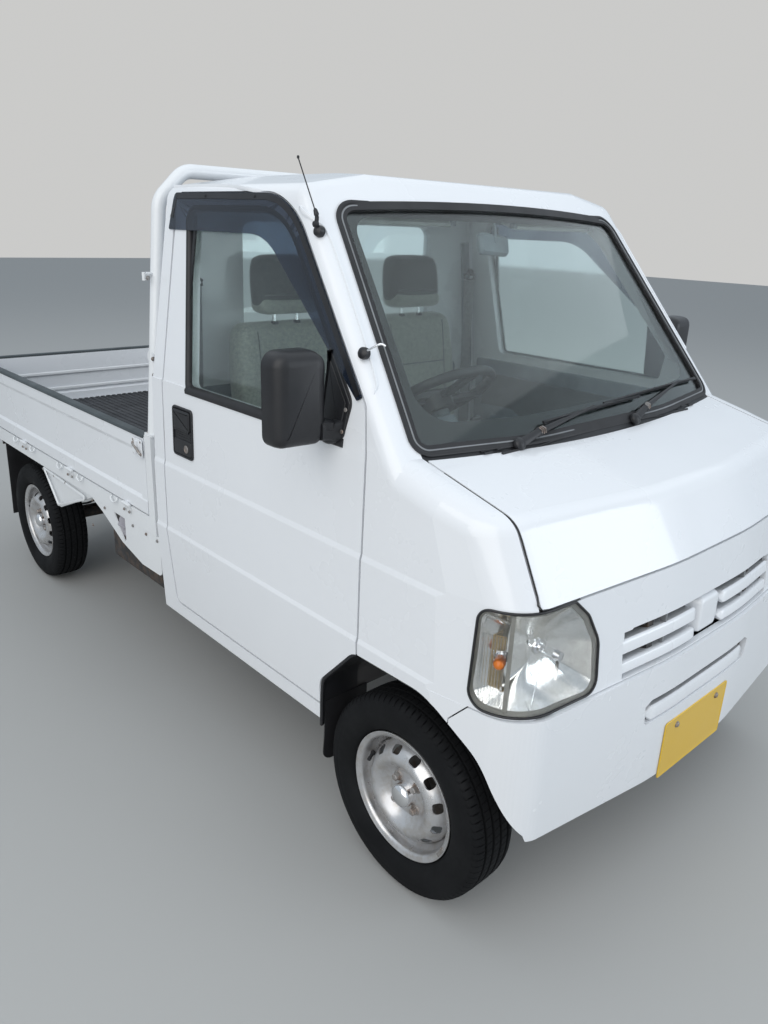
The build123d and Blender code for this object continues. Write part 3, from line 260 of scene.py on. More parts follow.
CAP_GREY = plastic("cap_plastic", (0.32, 0.31, 0.34), 0.5, 260, 0.2)
REFLECTOR = metal("lamp_reflector", (0.9, 0.89, 0.86), 0.16, 1.0, (0.62, 0.6, 0.52), 0.35)
LAMP_GREY = plastic("lamp_border", (0.36, 0.35, 0.31), 0.45, 300, 0.1)
CLEAR = glass("clear_glass", (0.88, 0.96, 0.94))
LENS = glass("lens_plastic", (0.95, 0.96, 0.97), 0.03)
SMOKED = glass("smoked_plastic", (0.10, 0.13, 0.19), 0.06, 0.9)
MIRROR = material("mirror_glass", (0.85, 0.87, 0.88), 0.02, 1.0)
AMBER = material("amber_plastic", (0.85, 0.22, 0.02), 0.15, 0.0, Transmission_Weight=0.3)
TAN_LENS = material("tan_lens", (0.5, 0.36, 0.16), 0.25, 0.0, Coat_Weight=0.5)
RED_LENS = material("red_lens", (0.45, 0.01, 0.012), 0.12, 0.0, Coat_Weight=0.5)
SEAT_CLOTH = woven("seat_cloth", (0.40, 0.42, 0.37), (0.25, 0.27, 0.25))
HEAD_CLOTH = woven("headrest_cloth", (0.075, 0.085, 0.085), (0.04, 0.046, 0.046))
SEAT_VINYL = plastic("seat_vinyl", (0.12, 0.125, 0.13), 0.55, 600, 0.3)
BELT = woven("belt_webbing", (0.35, 0.36, 0.37), (0.22, 0.23, 0.24), 260)
PLATE_YELLOW = paint("plate_yellow", (0.72, 0.45, 0.02), (0.4, 0.28, 0.08), 0.4, 0.1, 0.3)

SLOTS = {
    "white_paint": WHITE, "black_plastic": BLACK, "clear_glass": CLEAR,
    "smoked_plastic": SMOKED, "rubber": SEAL,
    "tyre": TYRE, "silver_paint": SILVER, "chassis_black": CHASSIS,
    "seat_cloth": SEAT_CLOTH, "dash_plastic": DASH,
    "reflector": REFLECTOR, "red_lens": RED_LENS, "cast_metal": CAST, "bare_steel": STEEL,
}
NODE_MATERIALS = {
    "cab_floor": UNDERSIDE_AND_SHADE, "bed_deck": BED_WHITE, "headlamp_lenses": LENS, "rear_mudguards": BED_WHITE,
    "guard_frame": BED_WHITE, "side_aprons": BED_WHITE,
}


def dress_nodes():
    """Give every CAD node its material."""
    for entry in frame["record"]["subparts"]:
        name = entry["node"]
        mesh = NODES[name].data
        mesh.materials.clear()
        mesh.materials.append(NODE_MATERIALS.get(name, SLOTS[entry["material_slot"]]))


# Mesh helpers

def smooth_faces(mesh, angle):
    """Shade a mesh smoothly, apart from edges sharper than the angle in degrees."""
    for face in mesh.polygons:
        face.use_smooth = True
    mesh.set_sharp_from_angle(angle=math.radians(angle))


def show(name, data):
    """Object of a mesh, camera or light, put in the scene."""
    made = bpy.data.objects.new(name, data)
    bpy.context.scene.collection.objects.link(made)
    return made


def piece(name, parts, made, body="chassis", bevel=0.0, smooth=True):
    """One object from (vertices, faces) parts in millimetres, riding on a body."""
    vertices, faces = [], []
    for part_vertices, part_faces in parts:
        base = len(vertices)
        vertices += [tuple(MM * c for c in v) for v in part_vertices]
        faces += [[base + i for i in face] for face in part_faces]
    mesh = bpy.data.meshes.new(name)
    mesh.from_pydata(vertices, [], faces)
    work = bmesh.new()
    work.from_mesh(mesh)
    bmesh.ops.remove_doubles(work, verts=work.verts, dist=FINE_WELD)
    bmesh.ops.recalc_face_normals(work, faces=work.faces)
    work.to_mesh(mesh)
    work.free()
    made_piece = show(name, mesh)
    mesh.materials.append(made)
    if bevel:
        modifier = made_piece.modifiers.new("bevel", "BEVEL")
        modifier.width = bevel * MM
        modifier.segments = 2
        modifier.limit_method = "ANGLE"
        modifier.angle_limit = math.radians(35)
    if smooth:
        smooth_faces(mesh, 38)
    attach(made_piece, body)
    return made_piece


def block(low, high):
    """Box between two corners."""
    low, high = [min(a, b) for a, b in zip(low, high)], [max(a, b) for a, b in zip(low, high)]
    vertices = [(x, y, z) for x in (low[0], high[0]) for y in (low[1], high[1]) for z in (low[2], high[2])]
    return vertices, [(0, 1, 3, 2), (4, 6, 7, 5), (0, 4, 5, 1), (2, 3, 7, 6), (0, 2, 6, 4), (1, 5, 7, 3)]


def side_block(side, x, y, z):
    """Box given by its limits, with x mirrored to the given side."""
    return block((side * x[0], y[0], z[0]), (side * x[1], y[1], z[1]))


def loft(rings, closed=True, caps=True):
    """Surface through rings of points, each closed on itself unless said otherwise."""
    count = len(rings[0])
    vertices = [tuple(point) for ring in rings for point in ring]
    faces = []
    for i in range(len(rings) - 1):
        for j in range(count if closed else count - 1):
            k = (j + 1) % count
            faces.append((i * count + j, i * count + k, (i + 1) * count + k, (i + 1) * count + j))
    if caps:
        faces.append(tuple(range(count))[::-1])
        faces.append(tuple(range((len(rings) - 1) * count, len(rings) * count)))
    return vertices, faces


def circle(centre, axis, radius, count=24):
    """Points of a circle about an axis."""
    axis = Vector(axis).normalized()
    side = axis.cross(Vector((0, 0, 1)))
    if side.length < 1e-3:
        side = axis.cross(Vector((0, 1, 0)))
    side.normalize()
    up = side.cross(axis)
    return [Vector(centre) + side * radius * math.cos(2 * math.pi * i / count)
            + up * radius * math.sin(2 * math.pi * i / count) for i in range(count)]


def turned(start, axis, profile, count=32, caps=True):
    """Solid of revolution from a profile of (distance along the axis, radius)."""
    axis = Vector(axis).normalized()
    rings = [circle(Vector(start) + axis * run, axis, max(radius, 0.05), count) for run, radius in profile]
    return loft(rings, True, caps)


def tube(points, radius, count=12, closed=False):
    """Round bar that follows points."""
    points = [Vector(p) for p in points]
    last = len(points) - 1
    rings = []
    up = Vector((0.13, 0.21, 0.97)).normalized()
    for i, point in enumerate(points):
        before = points[i - 1] if i or closed else point
        after = points[(i + 1) % len(points)] if i < last or closed else point
        direction = (after - before).normalized()
        side = direction.cross(up).normalized()
        other = side.cross(direction)
        rings.append([point + side * radius * math.cos(2 * math.pi * k / count)
                      + other * radius * math.sin(2 * math.pi * k / count) for k in range(count)])
    if closed:
        rings.append(rings[0])
    return loft(rings, True, not closed)


def smoothed(points, steps=6):
    """Catmull-Rom curve through points."""
    points = [Vector(p) for p in points]
    result = []
    for i in range(len(points) - 1):
        a, b, c, d = points[max(i - 1, 0)], points[i], points[i + 1], points[min(i + 2, len(points) - 1)]
        for step in range(steps):
            t = step / steps
            result.append(0.5 * ((2 * b) + (c - a) * t + (2 * a - 5 * b + 4 * c - d) * t * t
                                 + (3 * b - a - 3 * c + d) * t ** 3))
    result.append(points[-1])
    return result


def rounded(corners, steps=6):
    """Closed outline of 2-D points from corners given as (a, b, radius)."""
    points = []
    count = len(corners)
    for i, (a, b, radius) in enumerate(corners):
        here = Vector((a, b))
        if radius == 0:
            points.append(here)
            continue
        before = (Vector(corners[i - 1][:2]) - here).normalized()
        after = (Vector(corners[(i + 1) % count][:2]) - here).normalized()
        half = before.angle(after) / 2
        reach = radius / math.tan(half)
        start, end = here + before * reach, here + after * reach
        centre = here + (before + after).normalized() * (radius / math.sin(half))
        first = math.atan2(start.y - centre.y, start.x - centre.x)
        sweep = math.atan2(end.y - centre.y, end.x - centre.x) - first
        sweep = (sweep + math.pi) % (2 * math.pi) - math.pi
        for step in range(steps + 1):
            angle = first + sweep * step / steps
            points.append(centre + Vector((math.cos(angle), math.sin(angle))) * radius)
    return points


def rectangle(low, high, radius, steps=5):
    """Closed outline of a rectangle with rounded corners."""
    return rounded([(low[0], low[1], radius), (high[0], low[1], radius), (high[0], high[1], radius),
                    (low[0], high[1], radius)], steps)


def outward(points):
    """Outward normals of a closed 2-D outline."""
    count = len(points)
    area = sum(points[i - 1].x * points[i].y - points[i].x * points[i - 1].y for i in range(count))
    turn = 1 if area > 0 else -1
    normals = []
    for i in range(count):
        span = (points[(i + 1) % count] - points[i - 1]).normalized()
        normals.append(Vector((span.y, -span.x)) * turn)
    return normals


def spread(points, amount):
    """The outline moved outward by amount."""
    return [point + normal * amount for point, normal in zip(points, outward(points))]


def band(points, section, lift):
    """Strip along a closed 2-D outline, with its section given as (offset outward, height)."""
    normals = outward(points)
    rings = [[lift(point + normal * offset, height) for offset, height in section]
             for point, normal in zip(points, normals)]
    rings.append(rings[0])
    return loft(rings, True, False)


def plate(points, lift, low, high, edge=0.0):
    """Plate over a closed 2-D outline between two heights, its upper edge drawn in by edge."""
    rings = [[lift(point, low) for point in points], [lift(point, high - edge) for point in points]]
    if edge:
        rings.append([lift(point, high) for point in spread(points, -edge)])
    return loft(rings, True, True)


def facing(axis, sign=1):
    """Maps (a, b) and a height into space, where the height runs along the axis."""
    def lift(point, height):
        if axis == "x":
            return Vector((sign * height, point[0], point[1]))
        if axis == "y":
            return Vector((point[0], sign * height, point[1]))
        return Vector((point[0], point[1], sign * height))
    return lift


def surface_of(*names):
    """Search tree over the rest meshes of CAD nodes, in millimetres."""
    vertices, faces = [], []
    for name in names:
        mesh = NODES[name].data
        base = len(vertices)
        vertices += [v.co / MM for v in mesh.vertices]
        faces += [[base + i for i in face.vertices] for face in mesh.polygons]
    return BVHTree.FromPolygons(vertices, faces)


def cast(tree, origin, direction):
    """Point where a ray first meets a surface, or None."""
    return tree.ray_cast(Vector(origin), Vector(direction).normalized())[0]


def height_table(tree, y, start, end, step=10):
    """Distance of a right-side surface from the middle at each height, read at one y."""
    table = []
    for i in range(int((end - start) / step) + 1):
        z = start + step * i
        point = cast(tree, (OUTSIDE_X, y, z), (1, 0, 0))
        if point is not None:
            table.append((z, -point.x))
    return table


def read_table(table, z):
    """Value from a table of (z, value), by straight lines between its rows and beyond its ends."""
    for (low, a), (high, b) in zip(table, table[1:]):
        if z <= high:
            return a + (b - a) * (z - low) / (high - low)
    (low, a), (high, b) = table[-2:]
    return b + (b - a) * (z - high) / (high - low)


DOOR_TABLE = height_table(surface_of("door_right"), -270, 405, 1655)


def door_x(z):
    """Distance of the door's outer surface from the middle at height z."""
    return read_table(DOOR_TABLE, max(z, 405))


def on_door(side):
    """Maps a (y, z) point and a height off the door's outer surface into space, on the given side."""
    def lift(point, height):
        return Vector((side * (door_x(point[1]) + height), point[0], point[1]))
    return lift


def on_screen(point, height):
    """Maps (x, distance up the slope) and a height off the windscreen's outer surface into space."""
    run = Vector((0, SCREEN_HEAD[0] - SCREEN_FOOT[0], SCREEN_HEAD[1] - SCREEN_FOOT[1])).normalized()
    normal = Vector((0, -run.z, run.y))
    bow = SCREEN_BOW * (point[0] / SCREEN_BOW_HALF) ** 2
    return Vector((point[0], *SCREEN_FOOT)) + run * point[1] + normal * (height - bow)


# Lamps

LENS_TREE = surface_of("headlamp_lenses")
NOSE_TREE = surface_of("grille_panel", "front_bumper")
HOOD_TREE = surface_of("hood", "cowl")


def lamp_surface(side, angle, z):
    """Point on the lens at height z, where the angle turns from straight ahead to the flank."""
    turn = math.radians(angle)
    inside = lamp_core(-1, z)
    ray = Vector((-math.sin(turn), -math.cos(turn), 0))
    point = cast(LENS_TREE, inside + ray * 400, -ray)
    if point is None:
        return None
    return Vector((-side * point.x, point.y, point.z))


def rim_of(name, side, outward_direction):
    """Closed path round the outer faces of a CAD node, as points in order, in millimetres."""
    work = bmesh.new()
    work.from_mesh(NODES[name].data)
    bmesh.ops.remove_doubles(work, verts=work.verts, dist=CAD_WELD)
    outer = {face for face in work.faces
             if face.normal.dot(outward_direction) > 0.35 and face.calc_center_median().x * side > 0}
    following = {}
    for edge in work.edges:
        count = sum(face in outer for face in edge.link_faces)
        if count == 1:
            a, b = edge.verts
            following.setdefault(a.index, []).append(b.index)
            following.setdefault(b.index, []).append(a.index)
    work.verts.ensure_lookup_table()
    chains = []
    unused = set(following)
    while unused:
        start = min(unused)
        chain = [start]
        unused.discard(start)
        here = start
        while True:
            ahead = [other for other in following[here] if other in unused]
            if not ahead:
                break
            here = ahead[0]
            unused.discard(here)
            chain.append(here)
        chains.append([work.verts[i].co / MM for i in chain])
    work.free()
    return max(chains, key=lambda chain: sum((a - b).length for a, b in zip(chain, chain[1:])))


def evenly(path, step):
    """Points spaced evenly along a closed path."""
    closed = path + [path[0]]
    result = []
    left_over = 0.0
    for a, b in zip(closed, closed[1:]):
        length = (b - a).length
        run = left_over
        while run < length:
            result.append(a.lerp(b, run / length))
            run += step
        left_over = run - length
    if (result[-1] - result[0]).length < step * 0.4:
        result.pop()
    return result


def lamp_edge(side):
    """Closed path round the lens."""
    return evenly(rim_of("headlamp_lenses", side, Vector((side, -1, 0)).normalized()), 6)


def lamp_core(side, z, y=LAMP_CORE_Y):
    """Point inside a lamp's housing at height z, toward which depth is measured."""
    return Vector((side * LAMP_CORE_X, y, z))


def drawn_in(edge, side, inset, depth):
    """The lens's edge moved toward the lamp's middle by inset and into the housing by depth."""
    x, y, z = LAMP_CENTRE
    centre = Vector((side * x, y, z))
    ring = []
    for point in edge:
        toward = centre - point
        toward.y *= 0.35
        toward.normalize()
        ring.append(point + toward * inset + (lamp_core(side, point.z, -1450) - point).normalized() * depth)
    return ring


def make_reflectors():
    """Bright dishes of both headlamps, from the border back to the bulb, in place of the plain housings."""
    parts = []
    for side in (-1, 1):
        x, y, z = side * -BOWL[0], BOWL[1] + 93, BOWL[2]
        start = drawn_in(lamp_edge(side), side, 13, 6)
        rings = []
        for t in (0, 0.06, 0.14, 0.24, 0.35, 0.46, 0.57, 0.68, 0.78, 0.88, 1):
            ring = []
            for point in start:
                spoke = Vector((point.x - x, 0, point.z - z))
                target = Vector((x, y, z)) + spoke.normalized() * 15
                r = 1 - t
                ring.append(Vector((target.x + (point.x - target.x) * r, y + (point.y - y) * r * r,
                                    target.z + (point.z - target.z) * r)))
            rings.append(ring)
        rings += [[p + Vector((0, 3, 0)) for p in ring] for ring in rings[::-1]]
        rings.append(rings[0])
        parts.append(loft([ring + [ring[0]] for ring in rings], False, False))
    dish = piece("lamp_reflectors", parts, REFLECTOR)
    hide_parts("headlamps")


def make_headlamp(name, side):
    """Black ring round the lens as painted shade for its gap, border, divider, bulb, and the signal cell
    with its flutes and bulb, of one headlamp.
    """
    edge = lamp_edge(side)
    # Black tube round the lens's edge: painted shade for the gap between lens and body.
    piece(f"lamp_gap_painted_shade_{name}", [tube(edge, 3.2, 8, True)], SEAL)
    ribbon = []
    for inset, depth in ((1, 4.2), (6, 4.2), (12, 4.4), (13, 6), (13, 26)):
        ring = drawn_in(edge, side, inset, depth)
        ribbon.append(ring + [ring[0]])
    piece(f"lamp_border_{name}", [loft(ribbon, False, False)], LAMP_GREY)
    wall = []
    for z in range(656, 876, 12):
        outer_a, outer_b = lamp_surface(side, 53.4, z), lamp_surface(side, 56.6, z)
        if outer_a is None or outer_b is None:
            continue
        inward = (lamp_core(side, z) - outer_a).normalized()
        steps = ((outer_a, 4.4), (outer_b, 4.4), (outer_b, 40), (outer_a, 40))
        wall.append([point + inward * depth for point, depth in steps])
    piece(f"lamp_divider_{name}", [loft(wall)], LAMP_GREY)
    x, y, z = side * -BOWL[0], BOWL[1], BOWL[2]
    bulb = [(88, 7), (74, 9), (56, 9), (46, 7), (42, 2)]
    piece(f"lamp_bulb_{name}", [turned((x, y, z), (0, 1, 0), bulb, 20)], LENS)
    cap = [(97, 18), (90, 18), (88, 11), (82, 9), (82, 0)]
    piece(f"lamp_bulb_base_{name}", [turned((x, y, z), (0, 1, 0), cap, 20)], CHROME)
    cup = [(0, 1), (1, 10), (15, 12), (16, 11), (3, 9), (2, 1)]
    shield = [turned((x, y + 34, z), (0, 1, 0), cup, 20),
              block((x - 1, y + 38, z - 58), (x + 1, y + 46, z - 9))]
    piece(f"lamp_bulb_shield_{name}", shield, CHROME)
    flutes = []
    for i in range(18):
        angle = 60 + 2.4 * i
        foot, head = lamp_surface(side, angle, 668), lamp_surface(side, angle, 822)
        if foot is None or head is None or foot.y > -1532 or head.y > -1532:
            continue
        inward = (lamp_core(side, BOWL[2]) - foot.lerp(head, 0.5)).normalized() * 6.4
        flutes.append(tube([foot + inward, head + inward], 1.5, 8))
    piece(f"lamp_flutes_{name}", flutes, LENS)
    cell = []
    for z in range(690, 815, 12):
        row = [lamp_surface(side, angle, z) for angle in range(60, 81, 4)]
        row = [p + (lamp_core(side, z) - p).normalized() * 34 for p in row if p is not None]
        if len(row) == 6:
            cell.append(row + [p + Vector((-side * 1.5, 1.5, 0)) for p in row[::-1]])
    piece(f"lamp_signal_shell_{name}", [loft(cell)], TAN_LENS)
    signal = Vector((side * 694, -1570, 764))
    aim = Vector((-side * 0.8, 0.4, 0.25)).normalized()
    bulb = [(-18, 0), (-16, 6), (-10, 11), (0, 13), (10, 11), (16, 7)]
    piece(f"lamp_signal_bulb_{name}", [turned(signal, aim, bulb, 20)], AMBER)
    base = [(12, 12), (16, 15), (24, 15), (26, 9)]
    piece(f"lamp_signal_base_{name}", [turned(signal, aim, base, 20)], CHROME, bevel=1)


# Nose

def make_front_plate():
    """Blank front plate with its two bolts."""
    face = rectangle((-165, 285), (165, 450), 9)

    def lift(point, height):
        return Vector((point.x, FRONT_Y - height, point.y))

    rim = band(face, [(0, 0), (0, 1.6), (-2, 2.8), (-5, 2.8), (-7, 1.8), (-7, 0.4)], lift)
    body = plate(spread(face, -6), lift, 0.2, 1.8)
    piece("front_plate", [rim, body], PLATE_YELLOW)
    bolts = []
    for x in (-105, 105):
        bolts.append(turned((x, FRONT_Y, 425), (0, -1, 0), [(0, 9), (2.4, 9), (2.6, 8), (3, 8)], 28))
        bolts.append(turned((x, FRONT_Y - 2.5, 425), (0, -1, 0), [(0, 7.5), (3, 7.5), (4, 6), (4, 0)], 6))
    piece("front_plate_bolts", bolts, STEEL)


def nose_point(x, z, depth):
    """Point behind the nose's outer surface."""
    found = cast(NOSE_TREE, (x, -1900, z), (0, 1, 0))
    y = found.y if found else FRONT_Y + 20
    return Vector((x, max(y, FRONT_Y) + depth, z))


def copied(name, node_name, made, body):
    """Welded copy of a CAD node's mesh as a piece."""
    mesh = NODES[node_name].data.copy()
    mesh.name = name
    work = bmesh.new()
    work.from_mesh(mesh)
    bmesh.ops.remove_doubles(work, verts=work.verts, dist=CAD_WELD)
    work.to_mesh(mesh)
    work.free()
    mesh.materials.clear()
    mesh.materials.append(made)
    made_piece = show(name, mesh)
    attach(made_piece, body)
    return made_piece


def apply_all(made):
    """Put the result of an object's modifiers into its mesh."""
    graph = bpy.context.evaluated_depsgraph_get()
    result = bpy.data.meshes.new_from_object(made.evaluated_get(graph), depsgraph=graph)
    made.modifiers.clear()
    old = made.data
    made.data = result
    bpy.data.meshes.remove(old)


def cut_out(made, cutter):
    """Take a closed cutter's volume out of an object."""
    difference = made.modifiers.new("cut", "BOOLEAN")
    difference.operation = "DIFFERENCE"
    difference.solver = "EXACT"
    difference.object = cutter
    apply_all(made)
    cutter_mesh = cutter.data
    bpy.data.objects.remove(cutter)
    bpy.data.meshes.remove(cutter_mesh)
    smooth_faces(made.data, 24)
    weighted = made.modifiers.new("weighted", "WEIGHTED_NORMAL")
    weighted.keep_sharp = True
    weighted.weight = 80


def nose_blade(start, end, low, high, blunt_start, blunt_end, front=1.5, back=40):
    """Louvre blade along the nose between two x, its blunt ends rounded off."""
    rings = []
    count = 28
    for i in range(count + 1):
        x = start + (end - start) * i / count
        middle, half = (low + high) / 2, (high - low) / 2
        ends = [abs(x - start)] if blunt_start else []
        ends += [abs(x - end)] if blunt_end else []
        near = min(ends + [half])
        scale = math.sqrt(max(1 - (1 - near / half) ** 2, 0.02))
        bottom, top = nose_point(x, low + 8, 0), nose_point(x, high - 10, 0)
        ring = []
        for depth, share in ((front + 4, -1), (front, -0.8), (front, 0.55), (front + 1.5, 0.8),
                             (front + 6, 0.95), (front + 14, 0.86), (back, 0.4), (back, -1)):
            z = middle + share * half * scale
            y = bottom.y + (top.y - bottom.y) * (z - bottom.z) / (top.z - bottom.z)
            ring.append((x, y + depth + (1 - scale) * 9, z))
        rings.append(ring)
    return loft(rings)


GRILLE_OPENING = [(-376, 741, 3), (-340, 764, 12), (340, 764, 12), (376, 741, 3),
                  (372, 645, 5), (-372, 645, 5)]
BUMPER_OPENING = [(-270, 538, 3), (-246, 551, 8), (246, 551, 8), (270, 538, 3),
                  (262, 484, 12), (-262, 484, 12)]
BLADES = [  # name, start x, end x, low z, high z, rounded start, rounded end
    ("upper_right", -374, -64, 704, 739, False, True),
    ("lower_right", -372, -64, 656, 685, False, True),
    ("upper_left", 64, 374, 704, 739, True, False),
    ("lower_left", 64, 372, 656, 685, True, False),
    ("bumper", -254, 254, 487, 528, True, True),
]


def make_grille():
    """Openings of the grille and bumper with their blades, blank centre pad, struts, and black sheets behind
    the openings that are painted shade for the recess.
    """
    for node_name, opening in (("grille_panel", GRILLE_OPENING), ("front_bumper", BUMPER_OPENING)):
        panel = copied(f"{node_name}_open", node_name, WHITE, "chassis")
        hole = plate(rounded(opening, 4), facing("y"), -1720, -1600)
        cut_out(panel, piece(f"{node_name}_cutter", [hole], WHITE, smooth=False))
        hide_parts(node_name)
    for name, start, end, low, high, blunt_start, blunt_end in BLADES:
        piece(f"louvre_{name}", [nose_blade(start, end, low, high, blunt_start, blunt_end)], WHITE)
    pad = rectangle((-46, 658), (46, 748), 14, 6)
    rings = []
    for depth, grow in ((44, 12), (16, 3), (9, 0), (6.5, -3), (6, -10)):
        rings.append([nose_point(p.x, 672, 0) + Vector((0, depth, p.y - 672)) for p in spread(pad, grow)])
    piece("grille_centre_pad", [loft(rings)], WHITE)
    struts = []
    for side in (-1, 1):
        for x, low, high in ((side * 205, 738, 766), (side * 205, 684, 706), (side * 120, 643, 657)):
            y = nose_point(x, 672, 0).y
            struts.append(block((x - 3, y + 12, low), (x + 3, y + 40, high)))
    struts += [block((x - 3, -1682, 527), (x + 3, -1660, 553)) for x in (-120, 0, 120)]
    piece("grille_struts", struts, GREY, bevel=0.6)
    # Black sheets behind the grille openings: painted shade for the recess behind the blades.
    rows = []
    for z in (640, 668, 725, 772):
        rows.append([nose_point(-392 + 24.5 * i, 668 if z < 700 else 725, 46) for i in range(33)])
        for point in rows[-1]:
            point.z = z
    front = loft(rows, False, False)
    back = loft([[p + Vector((0, 3, 0)) for p in row] for row in rows], False, False)
    piece("grille_recess_painted_shade", [front, back], BLACK)
    # Black block behind the bumper slot: painted shade for the recess behind it.
    piece("bumper_slot_painted_shade", [block((-280, -1650, 478), (280, -1646, 558))], BLACK, bevel=1)


def on_hood(x, y):
    """Point on the hood's or cowl's top surface."""
    return cast(HOOD_TREE, (x, y, ABOVE_Z), (0, 0, -1))


def make_fender_beads():
    """Painted bead of sealer along the edge on top of each front fender."""
    tree = surface_of("front_fenders")
    normal = Vector((-0.7, -0.165, 0.69)).normalized()
    start, end = Vector((-706.8, -1262, 1102)), Vector((-706.8, -1394, 1069.5))
    across = (end - start).normalized().cross(normal).normalized()
    for name, side in SIDES:
        rings = []
        for i in range(15):
            centre = start.lerp(end, i / 14)
            low, high = (cast(tree, centre + across * offset + normal * 40, -normal) for offset in (-6, 6))
            if low is None or high is None:
                continue
            lift = 0.5 * math.sin(math.pi * min(max(i / 14, 0.03), 0.97)) ** 0.3
            ring = [low - normal * 0.2, low.lerp(high, 0.3) + normal * lift,
                    low.lerp(high, 0.5) + normal * lift * 1.2,
                    low.lerp(high, 0.7) + normal * lift, high - normal * 0.2,
                    low.lerp(high, 0.5) - normal * 1.5]
            rings.append([Vector((-side * p.x, p.y, p.z)) for p in ring])
        piece(f"fender_bead_{name}", [loft(rings)], WHITE)


def make_hood_seams():
    """Black strips laid in the gaps at both sides of the hood: painted shade for the shut lines."""
    tree = surface_of("hood")
    strips = []
    for side in (-1, 1):
        path = []
        for i in range(24):
            y = -1335 - 13 * i
            inside, outside = 480, 720
            if cast(tree, (side * inside, y, ABOVE_Z), (0, 0, -1)) is None:
                continue
            for _ in range(12):
                middle = (inside + outside) / 2
                if cast(tree, (side * middle, y, ABOVE_Z), (0, 0, -1)) is None:
                    outside = middle
                else:
                    inside = middle
            found = cast(tree, (side * (inside - 4), y, ABOVE_Z), (0, 0, -1))
            if found is not None:
                path.append(Vector((side * (inside + 1.8), y, found.z - 3.2)))
        strips.append(tube(smoothed(path, 2), 2, 8))
    # Black tubes in the shut lines: painted shade for the gaps.
    piece("hood_gap_painted_shade", strips, SEAL)


def make_cowl_details():
    """Louvres, washer jets and rubber strip of the cowl, under the wipers."""
    strips = []
    for i in range(24):
        x = -515 + 45 * i
        point = on_hood(x, -1300)
        if point is None or abs(x + 368) < 40 or abs(x - 187) < 40:
            continue
        strips.append(block((x - 14, -1312, point.z - 1), (x + 14, -1308, point.z + 2.5)))
        strips.append(block((x - 14, -1302, point.z), (x + 14, -1298, point.z + 4)))
    piece("cowl_louvres", strips, BLACK, bevel=0.6)
    edge = [on_hood(-434 + 62 * i, -1322) for i in range(15)]
    edge = [p + Vector((0, 0, 1)) for p in edge if p is not None]
    piece("cowl_strip", [tube(smoothed(edge, 3), 3.2, 8)], SEAL)
    jets = []
    for x in (-250, 250):
        point = on_hood(x, -1316) or Vector((x, -1316, 1102))
        jets.append(turned(point + Vector((0, 0, -3)), (0, 0.2, 1), [(0, 9), (5, 8.5), (8, 6), (10, 2)], 20))
        jets.append(turned(point + Vector((0, 2, 3)), (0, 1, 0.3), [(0, 3), (7, 2.6), (7.5, 1.2)], 12))
    piece("washer_jets", jets, BLACK)


def make_wiper(name, pivot, knuckle, joint, blade):
    """One parked wiper; its places are given on the glass as (x, distance up the slope)."""
    pivot = on_screen(pivot, 10)
    knuckle = on_screen(knuckle, 15)
    middle = on_screen(joint, 15)
    normal = (on_screen(joint, 20) - on_screen(joint, 0)).normalized()
    cap = [(0, 13), (8, 13), (10, 17), (18, 16), (23, 11), (25, 4)]
    parts = [turned(pivot - normal * 14, normal, cap, 24)]
    direction = (knuckle - pivot).normalized()
    side = direction.cross(normal).normalized()

    def slab(start, end, wide_start, wide_end, thick):
        rings = []
        section = ((1, -1), (1, 0.6), (0.55, 1), (-0.55, 1), (-1, 0.6), (-1, -1))
        for point, wide in ((start, wide_start), (end, wide_end)):
            rings.append([point + side * wide * a + normal * thick * b for a, b in section])
        return loft(rings)

    parts.append(slab(pivot - direction * 8, knuckle, 12, 9, 7))
    parts.append(turned(knuckle - side * 11, side, [(0, 7), (22, 7)], 18))
    direction = (middle - knuckle).normalized()
    side = direction.cross(normal).normalized()
    parts.append(slab(knuckle, knuckle.lerp(middle, 0.45), 8, 6, 5))
    parts.append(slab(knuckle.lerp(middle, 0.45), middle, 5, 3.5, 3))
    piece(f"wiper_arm_{name}", parts, BLACK, bevel=0.8)
    ribs = []
    for i in range(3):
        centre = knuckle.lerp(middle, 0.02 + 0.03 * i)
        bow = [centre - side * 10 + normal * 3, centre + normal * 9, centre + side * 10 + normal * 3]
        ribs.append(tube(bow, 1.4, 8))
    piece(f"wiper_spring_{name}", ribs, STEEL)
    count = 14
    (x0, slope0), (x1, slope1) = blade
    base = [on_screen((x0 + (x1 - x0) * i / count, slope0 + (slope1 - slope0) * i / count), 0)
            for i in range(count + 1)]
    along = (base[-1] - base[0]).normalized()
    across = along.cross(normal).normalized()
    section = ((0.6, -0.6), (6, -1.4), (6, -4.5), (9, -4.5), (9, 4.5), (6, 4.5), (6, 1.4), (0.6, 0.6))
    rubber = [[p + normal * h + across * w for h, w in section] for p in base]
    piece(f"wiper_blade_{name}", [loft(rubber)], SEAL)
    bows = []
    for start, top, end, height in ((0, 3, 7, 13), (7, 10, 14, 13), (3, 7, 10, 17)):
        a, m, b = base[start], base[top], base[end]
        bow = [a + normal * 9, a.lerp(m, 0.5) + normal * height, m + normal * height,
               m.lerp(b, 0.5) + normal * height, b + normal * 9]
        bows.append(tube(smoothed(bow, 4), 2.4, 8))
    section = ((4, -5.5), (10, -5), (10, 5), (4, 5.5))
    for i in (0, 3, 7, 11, 14):
        p = base[i]
        bows.append(loft([[p + along * s + normal * h + across * w for h, w in section] for s in (-5, 5)]))
    piece(f"wiper_bow_{name}", bows, BLACK)


